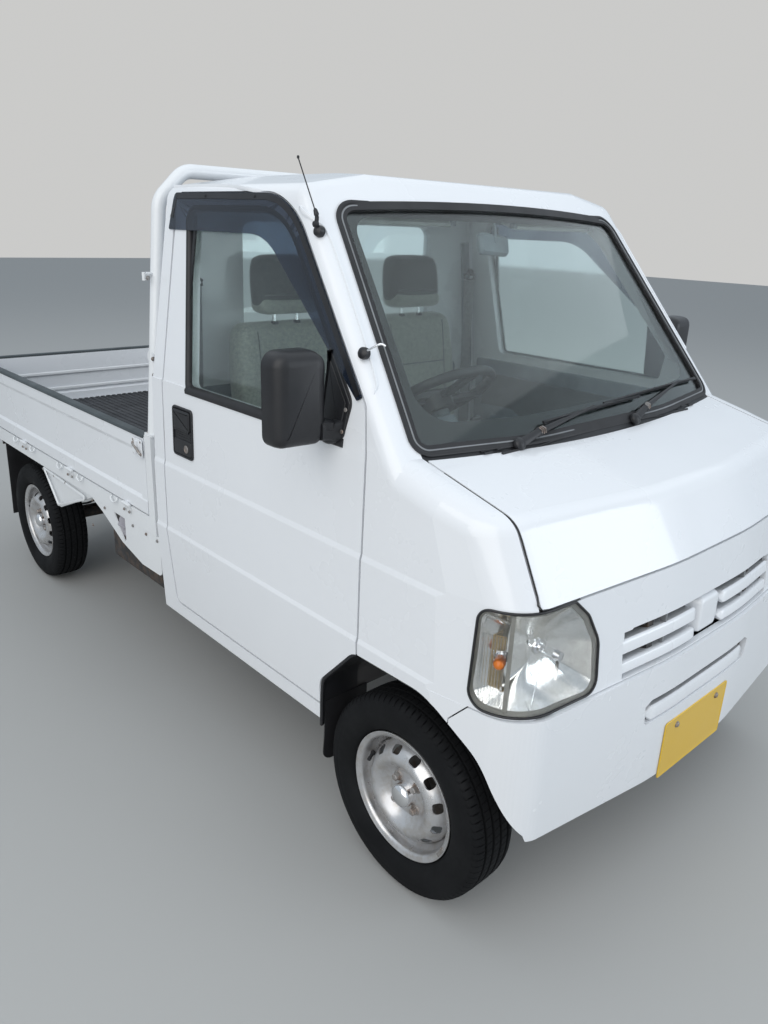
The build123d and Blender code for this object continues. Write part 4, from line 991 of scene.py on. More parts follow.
def make_screen_details():
    """Dark printed border on the glass, the lip of its seal, and a grey strip on the seal that is a painted
    highlight along its rounded edge.
    """
    opening = rounded([(648, 66, 60), (566, 700, 66), (-566, 700, 66), (-648, 66, 60),
                       (-290, 30, 1500), (290, 30, 1500)], 10)
    inner = rounded([(596, 128, 90), (536, 676, 60), (-536, 676, 60), (-596, 128, 90),
                     (-290, 92, 1500), (290, 92, 1500)], 10)
    rings = [[on_screen(p, depth) for p in path]
             for path, depth in ((opening, -11.4), (inner, -11.4), (inner, -11.9), (opening, -11.9))]
    rings = [ring + [ring[0]] for ring in rings]
    rings.append(rings[0])
    piece("windscreen_border", [loft(rings, False, False)], BLACK)
    seal = rounded(SCREEN, 10)
    lip = band(seal, [(3, 0), (4, 4.5), (-1, 6), (-5, 4.5), (-5, 2)], on_screen)
    piece("windscreen_seal_lip", [lip], SEAL)
    # Grey strip inside the seal's lip: a painted highlight along the seal's rounded edge.
    seal_highlight = band(seal, [(-9, 2.5), (-10, 4.2), (-13, 4.2), (-14, 2.5)], on_screen)
    piece("windscreen_seal_painted_highlight", [seal_highlight], GREY)


def make_inner_mirror():
    """Inner mirror with its stalk, shell and glass."""
    centre = Vector((0, -868, 1548))
    face = rectangle((-88, -29), (88, 29), 16, 6)
    tilt = Matrix.Rotation(math.radians(-12), 3, "X") @ Matrix.Rotation(math.radians(14), 3, "Z")

    def lift(point, height):
        return centre + tilt @ Vector((point.x, -height, point.y))

    shell = plate(face, lift, 0, 16, 8)
    piece("inner_mirror_shell", [shell], TRIM)
    piece("inner_mirror_glass", [plate(spread(face, -4), lift, -1.2, 0.4, 0.8)], MIRROR)
    stalk = smoothed([centre + Vector((0, -14, 6)), (0, -876, 1590), (0, -862, 1622), (0, -850, 1640)], 5)
    foot = turned((0, -850, 1636), (0, 0.2, 1), [(0, 20), (8, 24), (10, 24)], 20)
    piece("inner_mirror_stalk", [tube(stalk, 5, 10), foot], TRIM)


def make_sun_shade(name, x):
    """Padded sun shade folded up against the roof lining, with its rod."""
    outline = rectangle((x - 205, 0), (x + 205, 132), 22, 6)

    def lift(point, height):
        return Vector((point.x, -838 + point.y * 0.93, 1592 + point.y * 0.33 + height))

    rings = [[lift(p, 0) for p in spread(outline, -3)], [lift(p, 3) for p in outline],
             [lift(p, 10) for p in outline], [lift(p, 13) for p in spread(outline, -4)]]
    piece(f"sun_shade_{name}", [loft(rings)], PALE)
    rod = tube([(x - 190, -834, 1600), (x + 190, -834, 1600)], 4, 10)
    clips = [block((x + d - 9, -842, 1596), (x + d + 9, -826, 1622)) for d in (-196, 196)]
    piece(f"sun_shade_rod_{name}", [rod] + clips, TRIM, bevel=1)


def make_antenna():
    """Rod antenna on the right pillar with its base and the lower clip."""
    top, base = Vector((-653, -828, 1731)), Vector((-652, -903, 1572))
    foot = base + Vector((-5, -2, 34))
    boss = [(0, 13), (6, 14), (15, 12), (19, 6), (20, 1)]
    parts = [turned(base + Vector((10, 0, 0)), (-1, -0.1, 0.25), boss, 24),
             turned(base + Vector((-3, 0, 16)), (-1, -0.1, 0.25), [(0, 7), (7, 8), (11, 5)], 20),
             tube([base + Vector((-6, 0, 0)), foot], 5, 12),
             turned(foot, top - base, [(0, 4), (4, 6), (14, 5), (18, 3)], 16)]
    piece("antenna_base", parts, BLACK)
    tip = turned(top - Vector((0, 0, 2)), (0, 0.1, 1), [(0, 1.6), (1, 3), (5, 3.2), (7, 2)], 14)
    piece("antenna_rod", [tube([foot, top], 1.5, 10), tip], SEAL)
    clip = Vector((-684, -1108, 1323))
    boss = [(0, 13), (7, 14), (14, 13), (18, 8), (19, 1)]
    piece("antenna_clip", [turned(clip + Vector((10, 0, 0)), (-1, -0.15, 0.25), boss, 24)], BLACK)
    hook = smoothed([clip + Vector((0, -4, 4)), clip + Vector((6, -20, 14)), clip + Vector((16, -40, 26)),
                     clip + Vector((22, -50, 22))], 4)
    piece("antenna_hook", [tube(hook, 2.6, 10)], CHROME)


ROOF_TREE = surface_of("cab_shell")


def make_drip_rails():
    """Small gutters along both edges of the roof, down to the windscreen pillars."""
    path = [(-184, 1676), (-350, 1678), (-512, 1674), (-640, 1662), (-742, 1648), (-830, 1624),
            (-880, 1596), (-930, 1548), (-1000, 1468), (-1075, 1375), (-1130, 1290), (-1158, 1246)]
    for name, side in SIDES:
        points = []
        for y, z in path:
            found = cast(ROOF_TREE, (OUTSIDE_X, y, z), (1, 0, 0))
            if found is not None:
                points.append(Vector((-side * (found.x - 1.0), y, z)))
        section = ((-3, -5), (3.2, -5), (4, 0), (2.5, 4.5), (-3, 4.5))
        lip = [[point + Vector((side * x, 0, z)) for x, z in section] for point in smoothed(points, 3)]
        piece(f"drip_rail_{name}", [loft(lip)], WHITE)


# Doors

def make_door_seals(name, side):
    """Black weather strip round the window and wiper strip along its lower edge."""
    lift = on_door(side)
    outline = rounded(WINDOW, 8)
    section = [(9, -2), (9, 1.2), (6, 2.8), (0, 2.8), (-3, 1), (-7, -5), (-8, -12), (-2, -12), (2, -4)]
    piece(f"window_seal_{name}", [band(outline, section, lift)], SEAL, f"door_{name}")
    section = ((1112, -1), (1113, 3), (1123, 4.4), (1130, 2.4), (1135, -4), (1135, -10), (1125, -4))
    rings = [[lift((y, z), height) for z, height in section] for y in (-1092, -900, -700, -500, -374)]
    piece(f"window_belt_strip_{name}", [loft(rings)], SEAL, f"door_{name}")
    channel = loft([[lift((y, z), h) for y, h in ((-348, -4), (-336, -4), (-336, -9), (-348, -9))]
                    for z in (1132, 1300, 1450, 1600)])
    piece(f"window_rear_channel_{name}", [channel], SEAL, f"door_{name}")


def make_door_handle(name, side):
    """Handle plate with its pull at the top, the finger recess and the lower block with the key cylinder."""
    lift = on_door(side)
    outer = rectangle((-412, 916), (-296, 1068), 13, 6)
    body = f"door_{name}"
    rim = band(outer, [(0, -1), (0, 3.6), (-1.5, 5.4), (-4, 5.8), (-6.5, 4.4), (-7, 0.6), (-7, -1)], lift)
    face = plate(rectangle((-407, 921), (-301, 1063), 9), lift, 0.4, 1.4, 0.3)
    low = plate(rectangle((-404, 924), (-304, 970), 7), lift, 1.4, 5, 1.4)
    piece(f"handle_plate_{name}", [rim, face, low], BLACK, body)
    pull = rectangle((-403, 1001), (-305, 1060), 7, 6)
    rings = [[lift(p, 2.4) for p in pull], [lift(p, 7.4) for p in spread(pull, -0.6)],
             [lift(p, 9.4) for p in spread(pull, -3.4)], [lift(p, 9.8) for p in spread(pull, -9)]]
    lip = loft([[lift((y, z), h) for z, h in ((1001, 4), (997, 5), (996, 7), (998, 9), (1003, 9))]
                for y in (-397, -311)])
    piece(f"handle_pull_{name}", [loft(rings), lip], BLACK, body)
    ribs = [loft([[lift((y, z), h) for z, h in ((base, 1.2), (base + 3, 1.2), (base + 3, 2.6), (base, 2.6))]
                  for y in (-399, -309)]) for base in (976, 983, 990)]
    piece(f"handle_recess_ribs_{name}", ribs, BLACK, body)
    key = lift((-377, 946), 5)
    axis = (side, 0, 0.02)
    parts = [turned(key, axis, [(0, 12), (1.6, 12), (2.6, 10.5), (2.6, 8.6), (1.4, 8), (1.4, 0)], 28),
             block(key + Vector((side * 1.4, -0.9, -5)), key + Vector((side * 1.9, 0.9, 5)))]
    piece(f"door_lock_{name}", parts, STEEL, body)


def make_door_inside(name, side):
    """Inner trim of a door: card with its armrest, pull, window crank, lever and speaker."""
    body = f"door_{name}"

    def lift(point, height):
        return Vector((side * (door_x(point[1]) - DOOR_INNER - height), point[0], point[1]))

    card = rounded([(-262, 470, 20), (-262, 1096, 14), (-1120, 1096, 14),
                    (-1130, 900, 40), (-1012, 640, 90), (-996, 470, 20)], 6)
    piece(f"door_card_{name}", [plate(card, lift, 0.5, 7, 2.5)], TRIM, body)
    pad = rectangle((-1040, 800), (-300, 1040), 30, 6)
    piece(f"door_card_panel_{name}", [plate(pad, lift, 6, 11, 3)], SEAT_VINYL, body)
    pocket = rectangle((-900, 500), (-380, 600), 24, 6)
    piece(f"door_pocket_{name}", [plate(pocket, lift, 6, 22, 5)], TRIM, body)
    rest = rectangle((-640, 846), (-360, 874), 12, 6)
    arm = plate(rest, lift, 8, 34, 9)
    cup = tube([lift((-640, 868), 12), lift((-652, 866), 26), lift((-680, 862), 32), lift((-780, 862), 32),
                lift((-812, 866), 26), lift((-822, 868), 12)], 9, 14)
    piece(f"door_armrest_{name}", [arm, cup], TRIM, body)
    lever = [plate(rectangle((-900, 936), (-810, 984), 10), lift, 9, 12, 1.5),
             tube([lift((-822, 960), 12), lift((-826, 960), 19), lift((-886, 962), 20)], 4.5, 12)]
    piece(f"door_lever_{name}", lever, BLACK, body)
    centre = lift((-610, 740), 10)
    axis = (-side, 0, 0)
    knob = [(0, 6), (4, 6), (5, 9), (9, 11), (18, 11), (21, 7)]
    crank = [turned(centre, axis, [(-4, 22), (3, 21), (8, 14), (14, 11), (18, 10), (19, 4)], 28),
             loft([[centre + Vector((-side * h, d, w)) for h, w in ((14, -7), (20, -6), (20, 6), (14, 7))]
                   for d in (-4, 96)]),
             turned(centre + Vector((-side * 18, 92, 0)), axis, knob, 24)]
    piece(f"window_crank_{name}", crank, BLACK, body, 0.8)
    centre = lift((-930, 610), 6)
    parts = [turned(centre, axis, [(0, 68), (5, 66), (7, 60), (5, 57), (4, 0)], 48)]
    for z in range(-45, 46, 9):
        half = 0.92 * math.sqrt(56 ** 2 - z ** 2)
        section = ((-half, 4), (-half, 6), (half, 6), (half, 4))
        parts.append(loft([[centre + Vector((-side * h, a, b)) for a, h in section]
                           for b in (z - 1.4, z + 1.4)]))
    piece(f"door_speaker_{name}", parts, BLACK, body)
    latch = [side_block(side, (700, 724), (-236.5, -233.6), (930, 1010)),
             side_block(side, (706, 714), (-233.6, -231.6), (955, 985))]
    piece(f"door_latch_{name}", latch, STEEL, body, 0.8)
    loop = [(side * 712, y, z) for y, z in ((-226, 958), (-230, 958), (-230, 982), (-226, 982))]
    piece(f"door_striker_{name}", [tube(loop, 2.4, 10)], STEEL)


def make_mirror_body(name, side):
    """Door mirror's rounded head, its arm and its corner cover, in place of the plain mirror."""
    body = f"door_{name}"
    face = rounded([(753, 1119, 32), (885, 1119, 28), (886, 1332, 34), (751, 1332, 36)], 8)
    rings = []
    for y, inset in ((-1006, -2), (-1009, 0), (-1036, 0), (-1054, -1.6), (-1066, -5), (-1074, -11),
                     (-1079, -19), (-1082, -30)):
        share = (-1006 - y) / 76
        rings.append([Vector((side * p.x, y + share * (p.x - 752) * 0.11, p.y))
                      for p in spread(face, inset)])
    head = piece(f"mirror_head_{name}", [loft(rings)], BLACK, body)
    arm = []
    for x, y, z, deep, tall in ((772, -1062, 1152, 20, 20), (752, -1064, 1150, 19, 20),
                                (736, -1068, 1148, 17, 22), (716, -1072, 1148, 17, 26)):
        arm.append([(side * x, y + p.x, z + p.y) for p in rectangle((-deep, -tall), (deep, tall), 9, 4)])
    piece(f"mirror_arm_{name}", [loft(arm)], BLACK, body)
    cover_edge = rounded([(-1092, 1134, 8), (-1003, 1134, 6), (-1005, 1330, 3),
                          (-1013, 1322, 6), (-1101, 1216, 12)], 5)
    lift = on_door(side)
    parts = [plate(cover_edge, lift, -6, 5, 1.5), plate(spread(cover_edge, -12), lift, 4.5, 7, 1.5)]
    piece(f"mirror_corner_cover_{name}", parts, BLACK, body)
    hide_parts(f"mirror_{name}")


def make_mirror_details(name, side):
    """Glass, inner rim, pivot collar and base screws of a door mirror."""
    body = f"door_{name}"
    glass_face = rounded([(766, 1128, 20), (872, 1128, 20), (876, 1324, 22), (762, 1324, 22)], 6)

    def lift(point, height):
        return Vector((side * point.x, -1006 + height, point.y))

    rim = band(glass_face, [(0, -0.5), (0, 2.5), (-3, 4), (-6, 2.5), (-7, -0.5)], lift)
    piece(f"mirror_rim_{name}", [rim], BLACK, body)
    piece(f"mirror_glass_{name}", [plate(spread(glass_face, -6), lift, -0.5, 1.6, 0.6)], MIRROR, body)
    profile = [(0, 15), (4, 18), (20, 18), (24, 22), (40, 22), (44, 15)]
    collar = turned((side * 752, -1064, 1132), (0, 0, 1), profile, 28)
    path = [(side * 752, -1064, 1140), (side * 742, -1066, 1132), (side * 724, -1072, 1136)]
    piece(f"mirror_pivot_{name}", [collar, tube(smoothed(path, 5), 14, 16)], BLACK, body)
    screws = []
    for y, z in ((-1092, 1150), (-1096, 1200)):
        x = door_x(z) + 9.2
        screws.append(turned((side * x, y, z), (side, 0, 0.14),
                             [(0, 5), (1.4, 5), (2.2, 3.4), (1.6, 0)], 18))
    piece(f"mirror_base_screws_{name}", screws, STEEL, body)


def visor_edge(tree):
    """Points down the upper and front edge of the right visor, as (y, z)."""
    points = []
    y = -1131.0
    while y < -211:
        z = 1662.0
        while z > 1222 and cast(tree, (OUTSIDE_X, y, z), (1, 0, 0)) is None:
            z -= 1.5
        if z > 1222:
            points.append((y, z))
        y += 17
    return points


def make_visor_details(name, side):
    """Black mounting band along the upper edge of the smoked window visor, and its clips."""
    body = f"door_{name}"
    tree = surface_of("visor_right")
    rings = []
    edge = visor_edge(tree)
    for i, (y, z) in enumerate(edge):
        ahead, behind = edge[min(i + 1, len(edge) - 1)], edge[max(i - 1, 0)]
        run = Vector((ahead[0] - behind[0], ahead[1] - behind[1])).normalized()
        down = Vector((run.y, -run.x))
        ring = []
        for depth, height in ((0.5, 0.2), (0.5, 1.4), (15, 1.6), (16, 0.2)):
            spot = Vector((y, z)) + down * depth
            hit = cast(tree, (OUTSIDE_X, spot.x, spot.y), (1, 0, 0))
            if hit is not None:
                ring.append(Vector((side * (-hit.x + height), spot.x, spot.y)))
        if len(ring) == 4:
            rings.append(ring)
    clips = []
    for y in (-900, -640, -400):
        z = min(edge, key=lambda point: abs(point[0] - y))[1] - 9
        hit = cast(tree, (OUTSIDE_X, y, z), (1, 0, 0))
        clips.append(turned((side * (-hit.x + 1.4), y, z), (side, 0, 0),
                            [(0, 4), (1.2, 4), (1.8, 2.6), (1.9, 0)], 16))
    piece(f"visor_band_{name}", [loft(rings)], BLACK, body)
    piece(f"visor_clips_{name}", clips, SEAL, body)


def make_doors():
    """Details of both doors."""
    for name, side in SIDES:
        make_door_seals(name, side)
        make_door_handle(name, side)
        make_door_inside(name, side)
        make_mirror_body(name, side)
        make_mirror_details(name, side)
        make_visor_details(name, side)


# Wheels

TREAD_GROOVES = (-38, -13, 13, 38)
TREAD_PITCHES = 84
TREAD_CUTS = {("slot", "lug"): 6, ("slot", "edge"): 2.5, ("cut", "rib"): 2}


def tread_profile():
    """Tyre section from the inner bead over the tread to the outer bead, as (offset, radius, kind)."""
    side = [(-48, 152.4, "bead"), (-49, 170, "bead"), (-58, 174, "wall"), (-64, 181, "wall"),
            (-69.5, 196, "wall"), (-72, 212, "wall"), (-71.5, 222, "wall"), (-70.4, 226, "wall"),
            (-71.2, 230, "wall"), (-69.6, 236, "wall"), (-67.5, 247, "wall"), (-65, 252, "edge"),
            (-61, 257.5, "edge"), (-54, 262, "lug"), (-48, 263.4, "lug")]
    crown = []
    for i, groove in enumerate(TREAD_GROOVES):
        top = 264.2 if abs(groove) > 20 else 264.9
        crown += [(groove - 4, top, "rib"), (groove - 3, top - 7, "floor"),
                  (groove + 3, top - 7, "floor"), (groove + 4, top, "rib")]
        if i < 3:
            crown.append(((groove + TREAD_GROOVES[i + 1]) / 2, 265, "rib"))
    return side + crown + [(-x, r, kind) for x, r, kind in reversed(side)]


def make_tyre(name, side, y, body, node_name):
    """Tyre with grooves, shoulder slots and fine cuts in its tread."""
    profile = tread_profile()
    rings = []
    pitch = 2 * math.pi / TREAD_PITCHES
    steps = [(0.0, "slot"), (0.13, "slot"), (0.17, "block"), (0.5, "block"),
             (0.54, "cut"), (0.58, "cut"), (0.62, "block"), (0.96, "block")]
    for i in range(TREAD_PITCHES):
        for share, state in steps:
            ring = []
            for x, radius, kind in profile:
                shift = 0.34 * pitch * x / 40 if kind in ("lug", "rib", "floor", "edge") else 0
                radius -= TREAD_CUTS.get((state, kind), 0)
                angle = (i + share) * pitch + shift
                ring.append(Vector((side * (WHEEL_X + x), y + radius * math.cos(angle),
                                    AXLE_Z + radius * math.sin(angle))))
            rings.append(ring)
    rings.append(rings[0])
    tyre = piece(name, [loft(rings, False, False)], TYRE, body)
    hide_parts(node_name)


def hex_nut(centre, axis, radius, height):
    """Six-sided nut with a round washer."""
    return turned(centre, axis, [(0, radius * 1.2), (1.5, radius * 1.2), (1.6, radius), (height - 2, radius),
                                 (height, radius * 0.8), (height + 0.4, 0)], 6)


# Wheel profiles as (distance out from the hub's face, radius)
DISC = [(-36, 137.5), (-30, 136.5), (-21, 133.5), (-9, 128), (4, 120), (12, 111), (16.4, 103), (17.4, 96),
        (16, 89), (10, 80), (1, 72), (-6, 65), (-9.2, 59), (-9.5, 54), (-9.5, 33), (-4, 30), (-4, 20)]
BARREL = [(15, 168), (15.4, 166), (13.6, 163), (12.6, 158), (9, 153.4), (3, 151), (-8, 150.6),
          (-14, 149), (-22, 141), (-30, 137.6), (-58, 137.6), (-66, 145), (-74, 150.4), (-90, 151),
          (-97, 156), (-99, 166), (-96.5, 168), (-94, 157), (-88, 153.5), (-73, 153), (-64, 148),
          (-57, 140.6), (-31, 140.6), (-21, 144), (-13, 152), (-7, 153.6), (5, 154), (9, 158),
          (10.5, 166), (12.5, 168.4)]


def make_wheel_details(name, side, y, body, node_name):
    """Steel wheel with its holes, hub cap, nuts, valve and balance weight, in place of the plain rim."""
    face = Vector((side * HUB_FACE_X, y, AXLE_Z))
    axis = Vector((side, 0, 0))
    rim = turned(face, axis, BARREL + BARREL[:1], 80, False)
    barrel = piece(f"wheel_barrel_{name}", [rim], SILVER, body)
    skin = DISC + [(run - 3.6, radius + (1.2 if radius > 60 else 0)) for run, radius in DISC[::-1]]
    disc = piece(f"wheel_disc_{name}", [turned(face, axis, skin + skin[:1], 96, False)], SILVER, body)
    cutters = []
    for i in range(12):
        angle = 2 * math.pi * (i + 0.5) / 12
        slot = rectangle((-14, -8.5), (14, 8.5), 7, 4)

        def lift(point, height, angle=angle):
            radius = 119.5 + point.y
            return face + Vector((side * height, radius * math.cos(angle) - point.x * math.sin(angle),
                                  radius * math.sin(angle) + point.x * math.cos(angle)))

        cutters.append(plate(slot, lift, -40, 30))
    cut_out(disc, piece(f"wheel_cutter_{name}", cutters, SILVER, body, smooth=False))
    cap = [(-10, 30), (4, 30), (8, 31.5), (14, 30), (19, 26), (22.5, 19), (24.2, 9), (24.6, 0)]
    piece(f"hub_cap_{name}", [turned(face, axis, cap, 40)], CHROME, body)
    nuts = []
    for i in range(4):
        angle = math.radians(45 + 90 * i)
        centre = face + Vector((side * -9.5, 46 * math.cos(angle), 46 * math.sin(angle)))
        nuts.append(turned(centre, axis, [(0, 14), (2.5, 13), (3, 10)], 24))
        nuts.append(hex_nut(centre + axis * 2, axis, 9.5, 14))
    piece(f"wheel_nuts_{name}", nuts, STEEL, body)
    angle = math.radians(15)
    spot = face + Vector((side * -16, 141 * math.cos(angle), 141 * math.sin(angle)))
    out = Vector((side * 0.85, -0.4 * math.cos(angle), -0.4 * math.sin(angle)))
    valve = [turned(spot, out, [(-2, 7), (2, 7), (6, 5), (18, 4), (19, 5), (27, 5), (28, 3)], 16)]
    piece(f"valve_{name}", valve, SEAL, body)
    weight = []
    for k in range(6):
        a = math.radians(200 + 2.4 * k)
        weight.append([face + Vector((side * h, r * math.cos(a), r * math.sin(a))) for h, r in
                       ((11, 156), (15, 156), (16.4, 165), (13.6, 166))])
    piece(f"balance_weight_{name}", [loft(weight)], STEEL, body, 0.6)
    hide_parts(node_name)


def make_wheels():
    """Tyres and wheels at all four corners."""
    for name, side in SIDES:
        for end, y in (("front", FRONT_AXLE_Y), ("rear", REAR_AXLE_Y)):
            body = f"{end}_wheel_{name}"
            make_tyre(f"tyre_tread_{end}_{name}", side, y, body, f"{end}_tyre_{name}")
            make_wheel_details(f"{end}_{name}", side, y, body, f"{end}_rim_{name}")


# Bed

CAP_STEPS = (  # share of the inset across, height, share of the inset upward
    (-1, 919, 0), (-1, 924, 0), (-1, 929, -1), (0, 930.6, -1), (0, 930.6, -1), (1, 928, -1), (1, 919, 0))
HINGE_PIN = [(0, 3), (1, 5), (59, 5), (60, 3)]


def cap_section(places, inset):
    """Section of a gate's cap strip, drawn in all round by inset, from its outer to its inner face."""
    return [(place + across * inset, z + up * inset) for place, (across, z, up) in zip(places, CAP_STEPS)]


def make_gate_details(name, side):
    """Cap strip, latches, rope hooks, hinge pins, bolts and inner ribs of a side gate."""
    body = f"side_gate_{name}"
    rings = []
    for y in (GATE_FRONT_Y, GATE_FRONT_Y + 1, 400, 900, GATE_REAR_Y - 1, GATE_REAR_Y):
        section = cap_section((734, 734.5, 731, 722, 706, 700, 699),
                              1.5 if y in (GATE_FRONT_Y, GATE_REAR_Y) else 0)
        rings.append([(side * x, y, z) for x, z in section])
    piece(f"gate_cap_{name}", [loft(rings)], CAP, body)
    for end, y, out in (("front", GATE_FRONT_Y + 34, -1), ("rear", 1610, 1)):
        base = plate(rectangle((y - 34, 852), (y + 34, 912), 7), facing("x", side), 735.5, 738.6, 0.8)
        loop = tube(smoothed([(side * 738, y - out * 20, 898), (side * 744, y - out * 20, 893),
                              (side * 745, y + out * 8, 880), (side * 744, y + out * 26, 868),
                              (side * 738, y + out * 28, 862)], 4), 4.2, 10)
        section = ((738.4, -9), (743.5, -9), (743.5, 9), (738.4, 9))
        lever = loft([[(side * x, y + (d + s), 866 + h) for x, d in section]
                      for s, h in ((-out * 12, -6), (-out * 8, 10), (-out * 2, 28), (0, 38))])
        piece(f"gate_latch_{end}_{name}", [base, lever], WHITE, body, 1)
        piece(f"gate_latch_loop_{end}_{name}", [loop], STEEL, body)
        rivets = [turned((side * 738.4, y + a, b), (side, 0, 0), [(0, 4), (1.2, 3.8), (2, 2), (2.1, 0)], 12)
                  for a, b in ((-26, 860), (26, 860), (-26, 904), (26, 904))]
        piece(f"gate_latch_rivets_{end}_{name}", rivets, STEEL, body)
    bow = ((735, -22, 652), (741, -22, 642), (743, -8, 634), (743, 8, 634), (741, 22, 642), (735, 22, 652))
    hooks = [tube(smoothed([(side * x, y + run, z) for x, run, z in bow], 4), 3.2, 10) for y in HOOKS]
    piece(f"rope_hooks_{name}", hooks, BED_WHITE)
    pins = [turned((side * 740, y - 30, 653), (0, 1, 0), HINGE_PIN, 16) for y in HINGES]
    piece(f"gate_hinge_pins_{name}", pins, BED_WHITE)
    bolts = [hex_nut((side * 736.5, y + offset, 628), (side, 0, 0), 5, 5) for y in HINGES
             for offset in (-20, 20)]
    piece(f"gate_hinge_bolts_{name}", bolts, STEEL)
    ribs = []
    for z in (748, 828):
        ribs.append(loft([[(side * x, y, z + h)
                           for x, h in ((701.5, -9), (698.6, -5), (698.6, 5), (701.5, 9))]
                          for y in (GATE_FRONT_Y + 30, 1620)]))
    piece(f"gate_inner_ribs_{name}", ribs, BED_WHITE, body, 0.6)


def make_tailgate_details():
    """Cap strip, latches, inner ribs and hinge pins of the tailgate."""
    rings = []
    for x in (-694, -693, 0, 693, 694):
        section = cap_section((1686.4, 1687, 1684, 1676, 1661, 1655, 1654), 1.5 if abs(x) == 694 else 0)
        rings.append([(x, y, z) for y, z in section])
    piece("tailgate_cap", [loft(rings)], CAP, "tailgate")
    for name, side in SIDES:
        x = side * 700
        base = plate(rectangle((x - 26, 846), (x + 26, 912), 7), facing("y"), 1684, 1687.4, 0.8)
        grip = tube(smoothed([(x - 8, 1687, 856), (x - 8, 1693, 862), (x, 1694, 884), (x + 8, 1693, 900),
                              (x + 8, 1687, 906)], 4), 4.2, 10)
        piece(f"tailgate_latch_{name}", [base], WHITE, "tailgate", 1)
        piece(f"tailgate_latch_grip_{name}", [grip], STEEL, "tailgate")
    ribs = []
    for z in (748, 828):
        ribs.append(loft([[(x, y, z + h) for y, h in ((1654.5, -9), (1651.6, -5), (1651.6, 5), (1654.5, 9))]
                          for x in (-640, 640)]))
    piece("tailgate_inner_ribs", ribs, BED_WHITE, "tailgate", 0.6)
    pins = [turned((x - 30, 1690, 653), (1, 0, 0), HINGE_PIN, 16) for x in (-560, 0, 560)]
    piece("tailgate_hinge_pins", pins, STEEL)


def make_bed_mat():
    """Ribbed rubber mat over the deck."""
    ribs, half, foot, low, high = 46, 688, 684.3, 686.4, 690
    pitch = 2 * half / ribs
    section = []
    for i in range(ribs):
        x = -half + 2 * half * i / ribs
        section += [(x, low), (x + pitch * 0.34, low), (x + pitch * 0.42, high), (x + pitch * 0.92, high)]
    section += [(half, low), (half, foot), (-half, foot)]
    rings = [[(x, y, z) for x, z in section] for y in (-104, 1636)]
    piece("bed_mat", [loft(rings)], MAT, smooth=False)


def make_headboard_ribs():
    """Pressed ribs on the bed's front wall."""
    ribs = []
    section = ((-96.5, -8), (-93, -4), (-93, 4), (-96.5, 8))
    for z in (700, 770, 840, 905):
        ribs.append(loft([[(x, y, z + h) for y, h in section] for x in (-640, 640)]))
    piece("headboard_ribs", ribs, BED_WHITE, bevel=0.6)


def make_guard_details():
    """Feet, bolts, bracket with its rings, and hook of the guard frame behind the cab."""
    bolts = []
    for name, side in SIDES:
        bolts += [hex_nut((side * 707, -148, z), (0, -1, 0), 6, 3) for z in (1130, 1180, 1420)]
        foot = plate(rectangle((side * 707 - 20, -150), (side * 707 + 20, -100), 5),
                     facing("z"), 932.6, 937, 1)
        nuts = [hex_nut((side * 707 + a, b, 936), (0, 0, 1), 6, 6) for a, b in ((-12, -106), (12, -106))]
        piece(f"guard_foot_{name}", [foot], BED_WHITE)
        piece(f"guard_foot_nuts_{name}", nuts, STEEL)
    piece("guard_bolts", bolts, STEEL)
    outline = rounded([(-496, 1128, 6), (-436, 1128, 6), (-440, 1168, 4),
                       (-450, 1206, 6), (-482, 1206, 6), (-492, 1168, 4)], 4)
    bracket = plate(outline, facing("y"), -147, -143.6, 0.6)
    rings = []
    for x in (-484, -448):
        angles = [2 * math.pi * i / 28 for i in range(28)]
        points = [(x + 15 * math.cos(angle), -149.5, 1206 + 15 * math.sin(angle)) for angle in angles]
        rings.append(tube(points, 2.6, 8, True))
    piece("guard_bracket", [bracket], PALE, bevel=0.5)
    piece("guard_bracket_rings", rings, STEEL)
    path = [(-60, y, z) for y, z in ((-147, 1182), (-158, 1192), (-160, 1206), (-150, 1214), (-142, 1206))]
    piece("guard_rail_hook", [tube(smoothed(path, 5), 4, 10)], STEEL)


def make_tail_lamp(name, side):
    """Tail lamp with its housing, three fluted lens fields and screws."""
    x0, x1 = 424, 636
    z0, z1 = 508, 580
    outline = rectangle((x0, z0), (x1, z1), 9)

    def lift(point, height):
        return Vector((side * point.x, TAIL_Y + height, point.y))

    housing = plate(outline, lift, 0.3, 17, 2)
    piece(f"tail_lamp_housing_{name}", [housing], BLACK)
    fields = (("red", 428, 508, RED_LENS), ("turn", 511, 571, AMBER), ("reverse", 574, 632, LENS))
    for label, low, high, made in fields:
        cover = rectangle((low, z0 + 4), (high, z1 - 4), 5)
        flutes = []
        count = int((high - low) / 6)
        for i in range(count):
            x = low + 3 + (high - low - 6) * (i + 0.5) / count
            flutes.append(loft([[lift(Vector((x + d, z)), h) for d, h in ((-2, 31), (0, 32.4), (2, 31))]
                                for z in (z0 + 7, z1 - 7)]))
        piece(f"tail_lens_{label}_{name}", [plate(cover, lift, 17.1, 31.6, 3)] + flutes, made)
    screws = [turned(lift(Vector((x, z)), 31.5), (0, 1, 0), [(0, 3.4), (1.4, 3), (1.6, 0)], 12)
              for x, z in ((509.5, 516), (509.5, 572), (572.5, 516), (572.5, 572))]
    piece(f"tail_lamp_screws_{name}", screws, STEEL)


